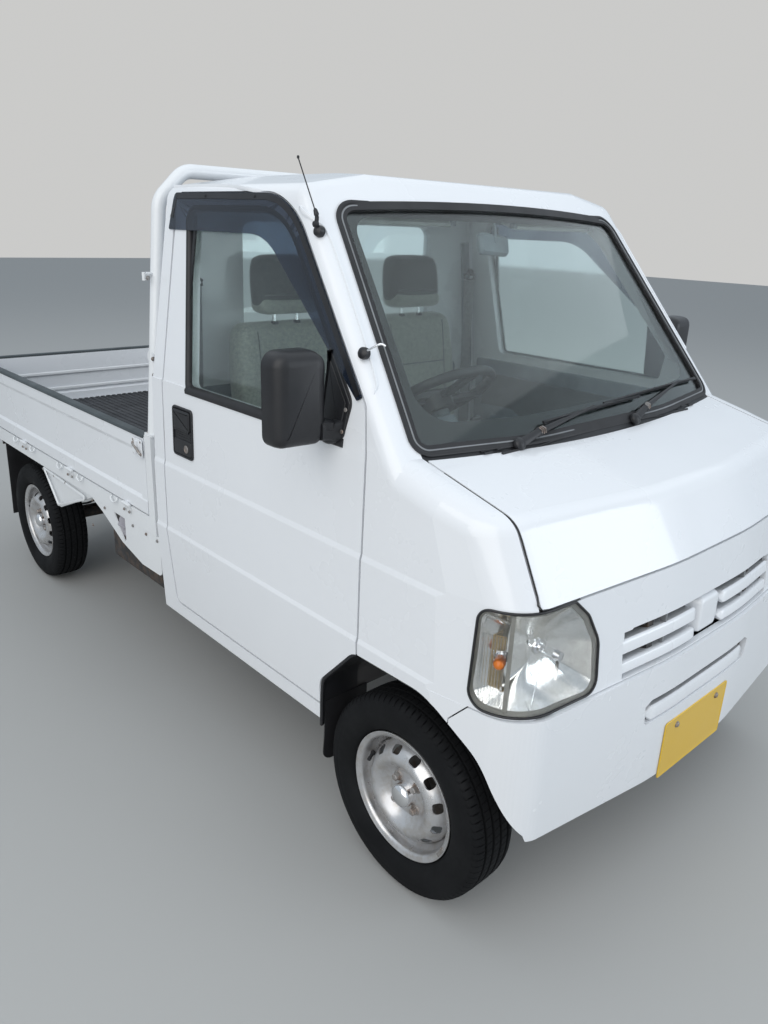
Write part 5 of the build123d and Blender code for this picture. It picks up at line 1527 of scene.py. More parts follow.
def make_tail():
    """Tail lamps, rear plate with its carrier, bolts and lamp, mud flaps and reflectors."""
    for name, side in SIDES:
        make_tail_lamp(name, side)
    outline = rectangle((-165, 420), (165, 585), 10)
    parts = [plate(outline, facing("y"), 1662.6, 1664.6, 0.8),
             band(outline, [(0, 1662.6), (0, 1666), (-3, 1666.6), (-6, 1664.6)], facing("y"))]
    piece("rear_plate", parts, PLATE_YELLOW)
    carrier = plate(rectangle((-172, 414), (172, 591), 12), facing("y"), 1660.5, 1662.4, 0.5)
    stays = [block((x - 12, 1655, 480), (x + 12, 1661.5, 500)) for x in (-120, 120)]
    piece("rear_plate_carrier", [carrier] + stays, BLACK)
    bolts = [hex_nut((x, 1664.4, 568), (0, 1, 0), 5.5, 4) for x in (-105, 105)]
    piece("rear_plate_bolts", bolts, STEEL)
    lamp = [loft([[(x, y, z) for y, z in ((1662, 596), (1684, 594), (1688, 602), (1684, 612), (1662, 614))]
                  for x in (-44, 44)])]
    piece("rear_plate_lamp", lamp, BLACK, bevel=2)
    for name, side in SIDES:
        rings = []
        for z, bend in ((596, 0), (560, 1), (430, 5), (300, 12), (205, 20)):
            rings.append([(side * x, 1420 + bend + d, z)
                          for x, d in ((706, 0), (706, 5), (568, 5), (568, 0))])
        piece(f"rear_mud_flap_{name}", [loft(rings)], SEAL, bevel=1)
        strap = block((side * 572, 1415, 560), (side * 702, 1420, 588))
        piece(f"mud_flap_strap_{name}", [strap], STEEL, bevel=1)
        glow = plate(rectangle((side * 690 - 16, 522), (side * 690 + 16, 566), 4),
                     facing("y"), 1655.6, 1661, 1.4)
        piece(f"rear_reflector_{name}", [glow], RED_LENS)


def make_apron_details():
    """Fuel cap with its grip and teeth, neck collar, apron bolts and mudguard rims."""
    cap = Vector((-721, 138, 543))
    grip = [turned(cap, (-1, 0, 0), [(-12, 38), (-2, 38), (0, 37), (2, 33), (2.4, 20), (2.4, 0)], 40),
            loft([[cap + Vector((-h, a, b)) for h, b in ((2, -7), (9, -4), (9, 4), (2, 7))]
                  for a in (-27, 27)])]
    piece("fuel_cap_grip", grip, CAP_GREY, bevel=1)
    teeth = []
    section = ((-1.6, -1.6), (1.6, -1.6), (1.6, 1.6), (-1.6, 1.6))
    for i in range(24):
        angle = 2 * math.pi * i / 24
        y, z = 138 + 38.4 * math.cos(angle), 543 + 38.4 * math.sin(angle)
        teeth.append(loft([[(x, y + a, z + b) for a, b in section] for x in (-701.5, -719.5)]))
    piece("fuel_cap_teeth", teeth, CAP_GREY)
    collar = [turned((-701, 138, 541), (1, 0, -0.2), [(0, 44), (2, 46), (6, 46), (8, 40), (9, 30)], 40)]
    piece("fuel_neck_collar", collar, SEAL)
    for name, side in SIDES:
        x = side * 729
        bolts = [turned((x, y, z), (side, 0, 0), [(0, 6), (1, 6), (1.2, 4.5), (3.6, 4.2), (4.2, 0)], 14)
                 for y, z in ((-140, 575), (-60, 575), (40, 575), (270, 575), (380, 575), (396, 470),
                              (880, 575), (640, 575), (760, 575))]
        piece(f"apron_bolts_{name}", bolts, STEEL)
        lift = facing("x", side)
        triangle = rounded([(886, 588, 8), (404, 570, 12), (748, 446, 14)], 5)
        rim = band(triangle, [(0, 728), (0, 731), (-3, 732.5), (-9, 732.5), (-12, 728.5)], lift)
        piece(f"mudguard_rim_{name}", [rim], BED_WHITE)


def make_bed():
    """Details of the cargo bed, its gates, its tail and its aprons."""
    for name, side in SIDES:
        make_gate_details(name, side)
    make_tailgate_details()
    make_bed_mat()
    make_headboard_ribs()
    make_guard_details()
    make_tail()
    make_apron_details()


# Underside

FRONT_ARCH = [(-1021, 100, 0), (-1021, 470, 60), (-1160, 617, 60), (-1410, 622, 140), (-1560, 520, 160),
              (-1645, 350, 0), (-1690, 100, 0)]
FLANK_TREE = surface_of("cab_shell", "door_right", "front_fenders")


def make_arch_liner(name, side):
    """Black liner around the front wheel's opening, with the mud flap that hangs from it."""
    path = [Vector((-1021, z)) for z in (330, 400)]
    path += [p for p in rounded(FRONT_ARCH, 8) if p.y > 405 and p.x > -1500]
    rings = []
    skin = 730
    for point in path:
        inward = (Vector((FRONT_AXLE_Y, 330)) - point).normalized()
        if point.y < 420:
            inward = Vector((-1, 0))
        found = cast(FLANK_TREE, (OUTSIDE_X, point.x - inward.x * 6, point.y - inward.y * 6), (1, 0, 0))
        if found is not None and found.x < -660:
            skin = -found.x
        section = ((skin - 4, 0.8), (skin - 4, 6), (skin - 7, 8), (skin - 13, 7),
                   (skin - 16, 4), (600, 4), (600, 0.8))
        rings.append([Vector((side * x, point.x + inward.x * h, point.y + inward.y * h))
                      for x, h in section])
    piece(f"arch_liner_{name}", [loft(rings)], BLACK)

    def hang(point, height):
        bend = 9 * (max(350 - point.y, 0) / 150) ** 2
        return Vector((side * point.x, -1027 + bend + height, point.y))

    corners = [(712, z, 0) for z in range(400, 240, -20)] + [(712, 203, 34), (566, 203, 34)]
    corners += [(566, z, 0) for z in range(240, 401, 20)]
    piece(f"front_mud_flap_{name}", [plate(rounded(corners, 5), hang, 0, 4.5, 1)], SEAL)


def make_underside():
    """Spring bolts, brakes, dampers, arch liners, engine pan, pipes, exhaust details and coupling."""
    for name, side in SIDES:
        x = side * 300
        bow = ((-28, 352), (-28, 246), (-20, 232), (20, 232), (28, 246), (28, 352))
        loops = [tube([(x + side * run, y, z) for run, z in bow], 5, 10)
                 for y in (REAR_AXLE_Y - 34, REAR_AXLE_Y + 34)]
        piece(f"spring_bolts_{name}", loops, STEEL)
        profile = [(-34, 60), (-33, 108), (-28, 112), (-4, 112), (-2, 106), (0, 60)]
        drum = turned((side * 640, REAR_AXLE_Y, AXLE_Z), (side, 0, 0), profile, 48, False)
        piece(f"brake_drum_rear_{name}", [drum], CAST, f"rear_wheel_{name}")
        profile = [(-22, 45), (-21, 108), (-9, 108), (-8, 45)]
        disc = turned((side * 640, FRONT_AXLE_Y, AXLE_Z), (side, 0, 0), profile, 48, False)
        piece(f"brake_disc_front_{name}", [disc], STEEL, f"front_wheel_{name}")
        hose = smoothed([(side * 560, REAR_AXLE_Y - 40, 330), (side * 480, REAR_AXLE_Y - 70, 330),
                         (side * 380, REAR_AXLE_Y - 60, 380), (side * 312, REAR_AXLE_Y - 120, 470)], 6)
        piece(f"brake_hose_rear_{name}", [tube(hose, 5, 10)], SEAL)
        profile = [(0, 20), (4, 24), (110, 24), (112, 12), (210, 12)]
        damper = turned((side * 250, REAR_AXLE_Y + 60, 300), (0, 0.25, 1), profile, 20)
        piece(f"rear_damper_{name}", [damper], CHASSIS)
        make_arch_liner(name, side)
    pan = [block((-150, 560, 262), (150, 830, 285)), block((-120, 590, 250), (120, 800, 262))]
    piece("engine_pan", pan, CAST, bevel=6)
    ribs = [block((x - 3, 545, 262), (x + 3, 850, 290)) for x in (-170, -90, 90, 170)]
    piece("engine_ribs", ribs, CAST, bevel=1)
    filter_can = [turned((150, 640, 300), (1, 0, -0.3), [(0, 30), (4, 38), (70, 38), (80, 30), (82, 0)], 32)]
    piece("oil_filter", filter_can, PALE)
    pipes = []
    for i, x in enumerate((-236, -218, 226, 244)):
        path = [(x, -1200, 440), (x, -900, 400), (x, -500, 395), (x, 100, 395), (x, 480, 400 + 8 * i)]
        pipes.append(tube(smoothed(path, 5), 4.5 if i % 2 else 9, 10))
    piece("underfloor_pipes", pipes, SEAL)
    hangers = [tube([(120 + s * 24, 1436, 444), (120 + s * 30, 1440, 470), (120 + s * 24, 1444, 496)], 5, 10)
               for s in (-1, 1)]
    piece("exhaust_hangers", hangers, SEAL)
    tip = [turned((-130, 1666, 373), (0, 1, -0.05),
                  [(0, 20), (1, 22), (14, 22), (15, 20), (14, 17), (2, 17)], 28)]
    piece("exhaust_tip", tip, STEEL)
    seams = [turned((s * 180, 1440, 385), (s, 0, 0), [(-6, 66.5), (-2, 69), (4, 69), (6, 66)], 48, False)
             for s in (-1, 1)]
    piece("silencer_seams", seams, STEEL)
    profile = [(0, 36), (8, 36), (12, 24), (70, 24), (76, 36), (84, 36)]
    piece("drive_coupling", [turned((0, 905, 300), (0, 1, -0.17), profile, 28)], CAST)


# Interior

DASH_TREE = surface_of("dashboard")
FLOOR_TREE = surface_of("cab_floor")
SHELL_TREE = surface_of("cab_shell")
WHEEL_AXIS = Vector((0, math.cos(math.radians(STEERING_TILT)), math.sin(math.radians(STEERING_TILT))))
WHEEL_DOWN = Vector((0, WHEEL_AXIS.z, -WHEEL_AXIS.y))


def on_dash(point, height):
    """Maps (x, z) and a height off the dashboard's rear face into space."""
    found = cast(DASH_TREE, (point[0], -600, point[1]), (0, -1, 0))
    y = found.y if found else -1080
    return Vector((point[0], y + height, point[1]))


def on_wheel(point, height):
    """Maps (x, distance down the steering wheel) and a height above its plane into space."""
    return Vector(STEERING_CENTRE) + Vector((point[0], 0, 0)) + WHEEL_DOWN * point[1] + WHEEL_AXIS * height


def pad_mesh(name, low, high, radius):
    """Foam block: a rounded box between two corners, remeshed evenly."""
    work = bmesh.new()
    bmesh.ops.create_cube(work, size=1.0)
    size = [(b - a) * MM for a, b in zip(low, high)]
    middle = [(a + b) / 2 * MM for a, b in zip(low, high)]
    bmesh.ops.scale(work, vec=size, verts=work.verts)
    bmesh.ops.bevel(work, geom=work.edges[:], offset=radius * MM, segments=4, profile=0.5, affect="EDGES")
    bmesh.ops.translate(work, vec=middle, verts=work.verts)
    mesh = bpy.data.meshes.new(name)
    work.to_mesh(mesh)
    work.free()
    made = show(name, mesh)
    remesh = made.modifiers.new("remesh", "REMESH")
    remesh.mode = "VOXEL"
    remesh.voxel_size = 0.013
    apply_all(made)
    return made


CLOTH = {
    "quality": 6, "mass": 0.25, "tension_stiffness": 22, "compression_stiffness": 22, "shear_stiffness": 10,
    "bending_stiffness": 0.8, "tension_damping": 12, "air_damping": 6,
}


def blow_up(made, held, pressure):
    """Fill a closed cover from inside with cloth simulation, with the held vertices kept in place."""
    start = [v.co.copy() for v in made.data.vertices]
    group = made.vertex_groups.new(name="held")
    indices = [v.index for v in made.data.vertices if held(v.co / MM)]
    if indices:
        group.add(indices, 1.0, "REPLACE")
    cloth = made.modifiers.new("cloth", "CLOTH")
    settings = cloth.settings
    for key, value in CLOTH.items():
        setattr(settings, key, value)
    settings.use_pressure = True
    settings.uniform_pressure_force = pressure
    settings.vertex_group_mass = "held"
    settings.effector_weights.gravity = 0
    cloth.point_cache.frame_start = 1
    cloth.point_cache.frame_end = SIMULATION_FRAMES + 4
    scene = bpy.context.scene
    for frame_number in range(1, SIMULATION_FRAMES + 1):
        scene.frame_set(frame_number)
    graph = bpy.context.evaluated_depsgraph_get()
    moved = made.evaluated_get(graph).to_mesh()
    places = [v.co.copy() for v in moved.vertices]
    made.evaluated_get(graph).to_mesh_clear()
    made.modifiers.clear()
    scene.frame_set(1)
    for vertex, before, after in zip(made.data.vertices, start, places):
        step = after - before
        if step.length > MOVE_LIMIT:
            step = step.normalized() * MOVE_LIMIT
        vertex.co = before + step


def cover(name, low, high, radius, shape, held, pressure, made_material):
    """Stuffed seat part: foam block, shaped, filled by simulation and smoothed."""
    made = pad_mesh(name, low, high, radius)
    for vertex in made.data.vertices:
        vertex.co = Vector(shape(vertex.co / MM)) * MM
    blow_up(made, held, pressure)
    smooth = made.modifiers.new("smooth", "SUBSURF")
    smooth.levels = 1
    smooth.render_levels = 1
    apply_all(made)
    for face in made.data.polygons:
        face.use_smooth = True
    made.data.materials.clear()
    made.data.materials.append(made_material)
    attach(made, "chassis")
    return made


def seam_along(made, points, lift=0.0, radius=1.8):
    """Piping laid on the surface of a stuffed part, near the given points, in millimetres."""
    tree = BVHTree.FromObject(made, bpy.context.evaluated_depsgraph_get())
    path = []
    for point in points:
        spot, normal = tree.find_nearest(Vector(point) * MM)[:2]
        path.append(spot / MM + normal * lift)
    return tube(path, radius, 8)


def run_between(a, b, count):
    """Evenly spaced points on a straight line."""
    return [Vector(a).lerp(Vector(b), i / count) for i in range(count + 1)]


def seat_lean(z):
    """How far the seat's back has moved to the rear at height z."""
    return (z - SEAT_BACK_FOOT) / SEAT_BACK_HEIGHT * SEAT_BACK_LEAN


def make_seat_covers(name, x):
    """Stuffed cushion, back, headrest and headrest foot of the seat at x, with their piping."""
    half = 225

    def cushion_shape(p):
        top = max(0.0, (p.z - 660) / 100)
        dish = 10 * top * (1 - min(1.0, ((p.x - x) / 150) ** 2)) * (1 - min(1.0, ((p.y + 480) / 190) ** 2))
        return (p.x, p.y, p.z - dish + top * 6 * max(0.0, (-p.y - 600) / 100))

    def cushion_held(p):
        edge = abs(abs(p.x - x) - CUSHION_SEAM) < 8 and p.z > 700
        return p.z < 664 or edge or (abs(p.y + 470) < 8 and p.z > 700 and abs(p.x - x) < 150)

    cushion = cover(f"seat_cushion_{name}", (x - half, -722, 652), (x + half, -300, 758), 34,
                    cushion_shape, cushion_held, 5.0, SEAT_CLOTH)

    def back_shape(p):
        front = max(0.0, min(1.0, (-(p.y + 340)) / 60))
        dish = 12 * front * (1 - min(1.0, ((p.x - x) / 130) ** 2))
        narrow = 1 - 0.13 * max(0.0, (p.z - 1080) / 210) ** 2
        return (x + (p.x - x) * narrow, p.y + seat_lean(p.z) + dish, p.z)

    def back_held(p):
        depth = p.y - seat_lean(p.z)
        if depth > -316:
            return True
        if depth >= -370:
            return False
        aside = abs(p.x - x)
        on_row = min(abs(p.z - row) for row in SEAT_BACK_ROWS) < 8
        return abs(aside - BACK_SEAM) < 8 or (aside < BACK_SEAM and on_row)

    back = cover(f"seat_back_{name}", (x - 205, -414, 704), (x + 205, -312, 1290), 34,
                 back_shape, back_held, 5.0, SEAT_CLOTH)

    def head_shape(p):
        round_top = 1 - 0.12 * max(0.0, (p.z - 1400) / 96) ** 2
        return (x + (p.x - x) * round_top, p.y + (p.z - 1320) / 180 * 20, p.z)

    head = cover(f"headrest_{name}", (x - 117, -344, 1324), (x + 117, -256, 1494), 30,
                 head_shape, lambda p: p.z < 1336, 3.0, HEAD_CLOTH)
    cover(f"headrest_foot_{name}", (x - 114, -349, 1316), (x + 114, -254, 1376), 24,
          head_shape, lambda p: p.z < 1326, 2.0, SEAT_CLOTH)
    seams = []
    for s in (-1, 1):
        across, up = x + s * CUSHION_SEAM, x + s * BACK_SEAM
        seams.append(seam_along(cushion, run_between((across, -716, 770), (across, -310, 770), 30), 0.4))
        seams.append(seam_along(back, run_between((up, -430, 730), (up, -340, 1272), 40), 0.4))
    cross_seam = run_between((x - CUSHION_SEAM, -470, 770), (x + CUSHION_SEAM, -470, 770), 24)
    seams.append(seam_along(cushion, cross_seam, 0.4))
    for z in SEAT_BACK_ROWS:
        y = -420 + seat_lean(z)
        seams.append(seam_along(back, run_between((x - BACK_SEAM, y, z), (x + BACK_SEAM, y, z), 24), 0.4))
    seams.append(seam_along(head, run_between((x - 108, -350, 1378), (x + 108, -350, 1378), 20), 0.6, 2.2))
    piece(f"seat_seams_{name}", seams, SEAT_VINYL)


def make_seat_frame(name, x):
    """Base, slides, headrest posts, levers and hinge plates of the seat at x, in place of the plain seat."""
    floor = cast(FLOOR_TREE, (x, -500, 620), (0, 0, -1))
    ground = floor.z if floor else FLOOR_Z
    box = [block((x - 193, -682, ground + 30), (x + 193, -304, 640)),
           block((x - 205, -694, 640), (x + 205, -300, 654))]
    base = piece(f"seat_base_{name}", box, TRIM, bevel=8)
    rails = []
    for s in (-1, 1):
        rails.append(block((x + s * 160 - 18, -690, ground), (x + s * 160 + 18, -300, ground + 14)))
        rails.append(block((x + s * 160 - 11, -676, ground + 14), (x + s * 160 + 11, -310, ground + 30)))
    piece(f"seat_slides_{name}", rails, STEEL, bevel=1.5)
    posts = [tube([(x + s * 44, -296, 1262), (x + s * 44, -293, 1330)], 6, 14) for s in (-1, 1)]
    collars = [turned((x + s * 44, -297, 1284), (0, 0, 1), [(0, 13), (6, 12), (9, 9), (9, 6)], 20)
               for s in (-1, 1)]
    piece(f"headrest_posts_{name}", posts, CHROME)
    piece(f"headrest_collars_{name}", collars, BLACK)
    bar = tube(smoothed([(x - 120, -690, 628), (x - 110, -716, 616), (x, -724, 612), (x + 110, -716, 616),
                         (x + 120, -690, 628)], 4), 5, 10)
    lever = [bar, turned((x - 226, -420, 640), (-1, 0, 0), [(0, 16), (6, 16), (8, 10), (9, 0)], 20)]
    piece(f"seat_levers_{name}", lever, BLACK)
    outline = rounded([(-400, 650, 16), (-300, 650, 16), (-270, 760, 20), (-320, 780, 16)], 4)
    hinges = [plate(outline, facing("x"), x + s * 212 - 3, x + s * 212 + 3) for s in (-1, 1)]
    piece(f"seat_hinge_plates_{name}", hinges, BLACK, bevel=1)
    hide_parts(f"seat_{name}")


def make_steering_details():
    """Column shroud, stalks, key, and the pad and stitching on the steering wheel."""
    centre = Vector(STEERING_CENTRE)
    rings = []
    for run, wide, tall in ((-58, 40, 36), (-62, 46, 42), (-120, 50, 48), (-190, 56, 56), (-250, 58, 60)):
        spot = centre + WHEEL_AXIS * run
        rings.append([spot + Vector((wide * math.cos(a), 0, 0)) + WHEEL_DOWN * (tall * math.sin(a) + 6)
                      for a in [2 * math.pi * i / 32 for i in range(32)]])
    piece("column_shroud", [loft(rings)], TRIM)
    stalks, knobs = [], []
    profile = [(0, 5), (3, 7), (24, 8), (32, 7), (34, 3)]
    for s in (-1, 1):
        base = centre + WHEEL_AXIS * -88
        path = smoothed([base + Vector((s * 40, 0, 0)), base + Vector((s * 90, 0, 0)) + WHEEL_AXIS * 3,
                         base + Vector((s * 140, 0, 0)) + WHEEL_AXIS * 12], 5)
        stalks.append(tube(path, 4.5, 12))
        knobs.append(turned(path[-1] - Vector((s * 26, 0, 0)), (s, 0.02, 0.02), profile, 18))
    piece("column_stalks", stalks, BLACK)
    piece("stalk_knobs", knobs, BLACK)
    lock = centre + WHEEL_AXIS * -130 + Vector((-52, 0, 0)) + WHEEL_DOWN * 10
    parts = [turned(lock, (-1, 0.1, 0), [(0, 15), (5, 15), (7, 12), (7, 0)], 24)]
    piece("ignition_lock", parts, STEEL)
    outline = rounded([(-92, -34, 16), (92, -34, 16), (70, 52, 22), (30, 66, 20),
                       (-30, 66, 20), (-70, 52, 22)], 6)
    rings = [[on_wheel(p, h) for p in spread(outline, -d)] for d, h in
             ((2, -4), (0, 0), (0, 10), (2, 15), (7, 19), (16, 22), (30, 23.5))]
    piece("wheel_pad", [loft(rings)], BLACK, "steering_wheel")
    covers = []
    for s in (-1, 1):
        outline = rounded([(s * 84, -14, 6), (s * 152, -10, 6), (s * 152, 12, 6), (s * 84, 16, 6)], 4)
        covers.append(plate(outline, on_wheel, -1, 3.4, 1))
    piece("wheel_spoke_covers", covers, BLACK, "steering_wheel")
    stitches = []
    for i in range(72):
        a = 2 * math.pi * i / 72
        along = Vector((-math.sin(a), math.cos(a)))
        across_rim = Vector((math.cos(a), math.sin(a)))
        spot = across_rim * 156.2
        ends = [on_wheel(spot - along * 2.2, -3.4), on_wheel(spot + along * 2.2 + across_rim * 0.3, 0.6)]
        stitches.append(tube(ends, 0.8, 5))
    piece("wheel_stitches", stitches, GREY, "steering_wheel")


def make_cluster():
    """Instrument cluster with its hood, bezels, dials, ticks and needles."""
    x0 = STEERING_CENTRE[0]
    face_y = on_dash((x0, 1000), 0).y
    frame_outline = rounded([(x0 - 150, 962, 26), (x0 + 150, 962, 26),
                             (x0 + 142, 1050, 30), (x0 - 142, 1050, 30)], 6)
    hood = []
    for depth, grow in ((-60, 6), (-6, 8), (20, 10), (24, 6), (22, 1), (2, -3)):
        hood.append([Vector((p.x, face_y + depth, p.y)) for p in spread(frame_outline, grow)])
    piece("cluster_hood", [loft(hood)], DASH)
    dial_y = face_y + 5

    def lift(point, height):
        return Vector((point[0], dial_y + height, point[1]))

    piece("cluster_face", [plate(spread(frame_outline, -5), lift, 0, 3)], BLACK)
    rims, ticks, needles = [], [], []
    cz = 1004
    for cx, radius, count in ((x0 - 58, 37, 41), (x0 + 62, 37, 25), (x0 + 2, 15, 9)):
        profile = [(0, radius), (3, radius + 1), (4, radius), (3, radius - 2), (0, radius - 2)]
        rims.append(turned(lift((cx, cz), 3), (0, 1, 0), profile, 40, False))
        for i in range(count):
            a = math.radians(225 - 270 * i / (count - 1))
            outer = radius - 4
            inner = outer - (7 if i % 5 == 0 else 4) * (radius / 37)
            ticks.append(tube([lift((cx + inner * math.cos(a), cz + inner * math.sin(a)), 3.4),
                               lift((cx + outer * math.cos(a), cz + outer * math.sin(a)), 3.4)], 0.5, 4))
        a = math.radians(225)
        tip = lift((cx + (radius - 9) * math.cos(a), cz + (radius - 9) * math.sin(a)), 5)
        needles.append(tube([lift((cx, cz), 5), tip], 0.9, 6))
        needles.append(turned(lift((cx, cz), 3), (0, 1, 0), [(0, 4), (3, 4), (4, 2)], 16))
    piece("dial_rims", rims, CHROME)
    piece("dial_ticks", ticks, PALE)
    piece("dial_needles", needles, AMBER)


def framed_vent(name, x, z, wide, tall, count=5):
    """Air vent: frame, dark back, slats and a thumb wheel on the dashboard's face."""
    right, left, low, high = x - wide / 2, x + wide / 2, z - tall / 2, z + tall / 2
    outline = rectangle((right, low), (left, high), 6, 4)
    rim = band(outline, [(0, -4), (0, 4), (-1.5, 6), (-5, 5), (-6, -2)], on_dash)
    slats = []
    section = ((0.5, -2.4), (5, -1.2), (5, 0), (0.5, -1.2))
    for i in range(count):
        level = low + tall * (i + 1) / (count + 1)
        slats.append(loft([[on_dash((px, level), h) + Vector((0, 0, d)) for h, d in section]
                           for px in (right + 5, left - 5)]))
    back = plate(rectangle((right + 4, low + 4), (left - 4, high - 4), 3), on_dash, -1, 0.6)
    wheel = turned(on_dash((left - 12, z), 1), (1, 0, 0), [(0, 9), (4, 9)], 20)
    piece(f"vent_{name}", [rim] + slats + [wheel], BLACK)
    piece(f"vent_back_{name}", [back], SEAL)


def make_dash_details():
    """Vents, heater panel, radio, switches, glove box and passenger grip."""
    for name, x, z, wide, tall in (("right_end", -575, 1000, 96, 58), ("middle_right", -52, 1006, 104, 52),
                                   ("middle_left", 62, 1006, 104, 52), ("left_end", 575, 1000, 96, 58)):
        framed_vent(name, x, z, wide, tall)
    panel = rectangle((-108, 838), (118, 970), 10, 5)
    piece("centre_panel", [plate(panel, on_dash, -1, 4, 1.5)], TRIM)
    radio = rectangle((-92, 900), (102, 958), 5, 4)
    parts = [plate(radio, on_dash, 3, 9, 1.5)]
    for i in range(6):
        parts.append(plate(rectangle((-44 + 17 * i, 907), (-31 + 17 * i, 916), 2), on_dash, 8.6, 11, 0.5))
    parts.append(plate(rectangle((-46, 928), (56, 950), 2), on_dash, 8.6, 9.6, 0.2))
    piece("radio_face", parts, BLACK)
    knobs = []
    for x, z, r in ((-72, 928, 13), (82, 928, 13), (-72, 866, 16), (5, 866, 16), (82, 866, 16)):
        profile = [(0, r), (4, r), (6, r - 2), (18, r - 3), (20, r - 5), (20, 0)]
        knobs.append(turned(on_dash((x, z), 3), (0, 1, 0.1), profile, 28))
    piece("dash_knobs", knobs, GREY)
    marks = [block(on_dash((x, 866), 21) + Vector((-0.8, 0, 2)),
                   on_dash((x, 866), 24.4) + Vector((0.8, 0, 11)))
             for x in (-72, 5, 82)]
    piece("knob_marks", marks, PALE)
    lid = rectangle((190, 838), (520, 972), 14, 5)
    piece("glove_box_lid", [plate(lid, on_dash, 0.4, 5, 2)], DASH)
    latch = [plate(rectangle((330, 946), (380, 962), 5), on_dash, 4.6, 9, 1.5),
             turned(on_dash((355, 954), 8.6), (0, 1, 0.1), [(0, 6), (2, 6), (2.4, 4), (2.4, 0)], 20)]
    piece("glove_box_latch", latch, BLACK)
    switches = [plate(rectangle((x - 14, 900), (x + 14, 934), 4), on_dash, 0.2, 6, 1.5)
                for x in (-548, -514, -480)]
    piece("dash_switches", switches, BLACK)
    path = [on_dash((x, z), height) for x, z, height in ((250, 1040, -6), (262, 1038, 26), (300, 1034, 34),
                                                         (420, 1034, 34), (458, 1038, 26), (470, 1040, -6))]
    piece("passenger_grip", [tube(smoothed(path, 5), 9, 14)], BLACK)
    louvres = []
    section = ((0, 0.5), (0, 2.4), (42, 2.4), (42, 0.5))
    for i in range(17):
        x = -560 + 70 * i
        found = cast(DASH_TREE, (x, -1262, 1300), (0, 0, -1))
        if found:
            louvres.append(loft([[found + Vector((dx, dy, dz)) for dx, dz in section] for dy in (-4, 4)]))
    piece("defroster_slots", louvres, BLACK, bevel=0.4)
    knee = plate(rectangle((-520, 838), (-130, 944), 14, 5), on_dash, 0.4, 4, 2)
    piece("knee_panel", [knee], TRIM)


def floor_height(x, y):
    """Height of the cab's floor."""
    found = cast(FLOOR_TREE, (x, y, 700), (0, 0, -1))
    return found.z if found else FLOOR_Z


def sheet(xs, ys, top, bottom):
    """Closed sheet over a grid of x and y, between two functions that give its heights."""
    vertices = [(x, y, height(x, y)) for height in (top, bottom) for y in ys for x in xs]
    wide, deep = len(xs), len(ys)
    count = wide * deep
    faces = []
    for j in range(deep - 1):
        for i in range(wide - 1):
            a = j * wide + i
            faces.append((a, a + 1, a + 1 + wide, a + wide))
            faces.append((a + count, a + wide + count, a + 1 + wide + count, a + 1 + count))
    border = list(range(wide)) + [j * wide + wide - 1 for j in range(1, deep)]
    border += [(deep - 1) * wide + i for i in range(wide - 2, -1, -1)]
    border += [j * wide for j in range(deep - 2, 0, -1)]
    for a, b in zip(border, border[1:] + border[:1]):
        faces.append((a, a + count, b + count, b))
    return vertices, faces


PEDALS = [  # x, y, z, width, height
    (-408, -1150, 486, 44, 110),
    (-312, -1142, 540, 66, 58),
    (-222, -1142, 540, 66, 58),
]


def make_pedals_and_levers():
    """Pedals, gear lever with its boot, and handbrake."""
    arms, pads = [], []
    for x, y, z, wide, tall in PEDALS:
        path = [(x, -1205, 860), (x, -1200, 760), (x, -1176, z + 60), (x, y - 8, z + 10)]
        arms.append(tube(smoothed(path, 5), 7, 10))
        outline = rectangle((x - wide / 2, -tall / 2), (x + wide / 2, tall / 2), 8, 4)

        def lift(point, height, y=y, z=z):
            return Vector((point.x, y + height * 0.8 - point.y * 0.42, z + point.y * 0.9 + height * 0.45))

        pads.append(plate(outline, lift, 0, 9, 2))
        section = ((-2, 8.6), (-2, 11.4), (2, 11.4), (2, 8.6))
        for i in range(int(tall / 12)):
            level = -tall / 2 + 9 + 12 * i
            pads.append(loft([[lift(Vector((px, level + d)), h) for d, h in section]
                              for px in (x - wide / 2 + 6, x + wide / 2 - 6)]))
    piece("pedal_arms", arms, STEEL)
    piece("pedal_pads", pads, SEAL)
    ground = floor_height(-33, -800)
    boot = []
    for i in range(9):
        radius = 46 - 3.6 * i + (3 if i % 2 else -2)
        boot.append((9 * i, max(radius, 10)))
    piece("gear_boot", [turned((-33, -800, ground), (0, 0.06, 1), boot, 32)], SEAL)
    stick = tube([(-33, -796, ground + 60), (-33, -786, ground + 180), (-33, -776, ground + 300)], 6, 12)
    piece("gear_stick", [stick], CHROME)
    profile = [(0, 9), (6, 14), (18, 21), (32, 24), (44, 21), (51, 12), (53, 0)]
    knob = turned((-33, -777, ground + 286), (0, 0.08, 1), profile, 28)
    piece("gear_knob", [knob], BLACK)
    ground = floor_height(-33, -560)
    lever = [tube([(-33, -470, ground + 30), (-33, -560, ground + 48), (-33, -640, ground + 74)], 8, 14)]
    piece("handbrake_lever", lever, STEEL)
    profile = [(0, 10), (4, 14), (30, 15), (60, 14), (98, 14), (106, 9), (108, 4)]
    grip = turned((-33, -620, ground + 67), (0, -0.95, 0.31), profile, 24)
    button = turned((-33, -722, ground + 101), (0, -0.95, 0.31), [(0, 6), (8, 6), (9, 4)], 16)
    piece("handbrake_grip", [grip, button], BLACK)
    bracket = [block((-55, -520, ground), (-11, -430, ground + 10)),
               block((-46, -500, ground + 8), (-40, -440, ground + 46)),
               block((-26, -500, ground + 8), (-20, -440, ground + 46))]
    piece("handbrake_bracket", bracket, BLACK, bevel=2)


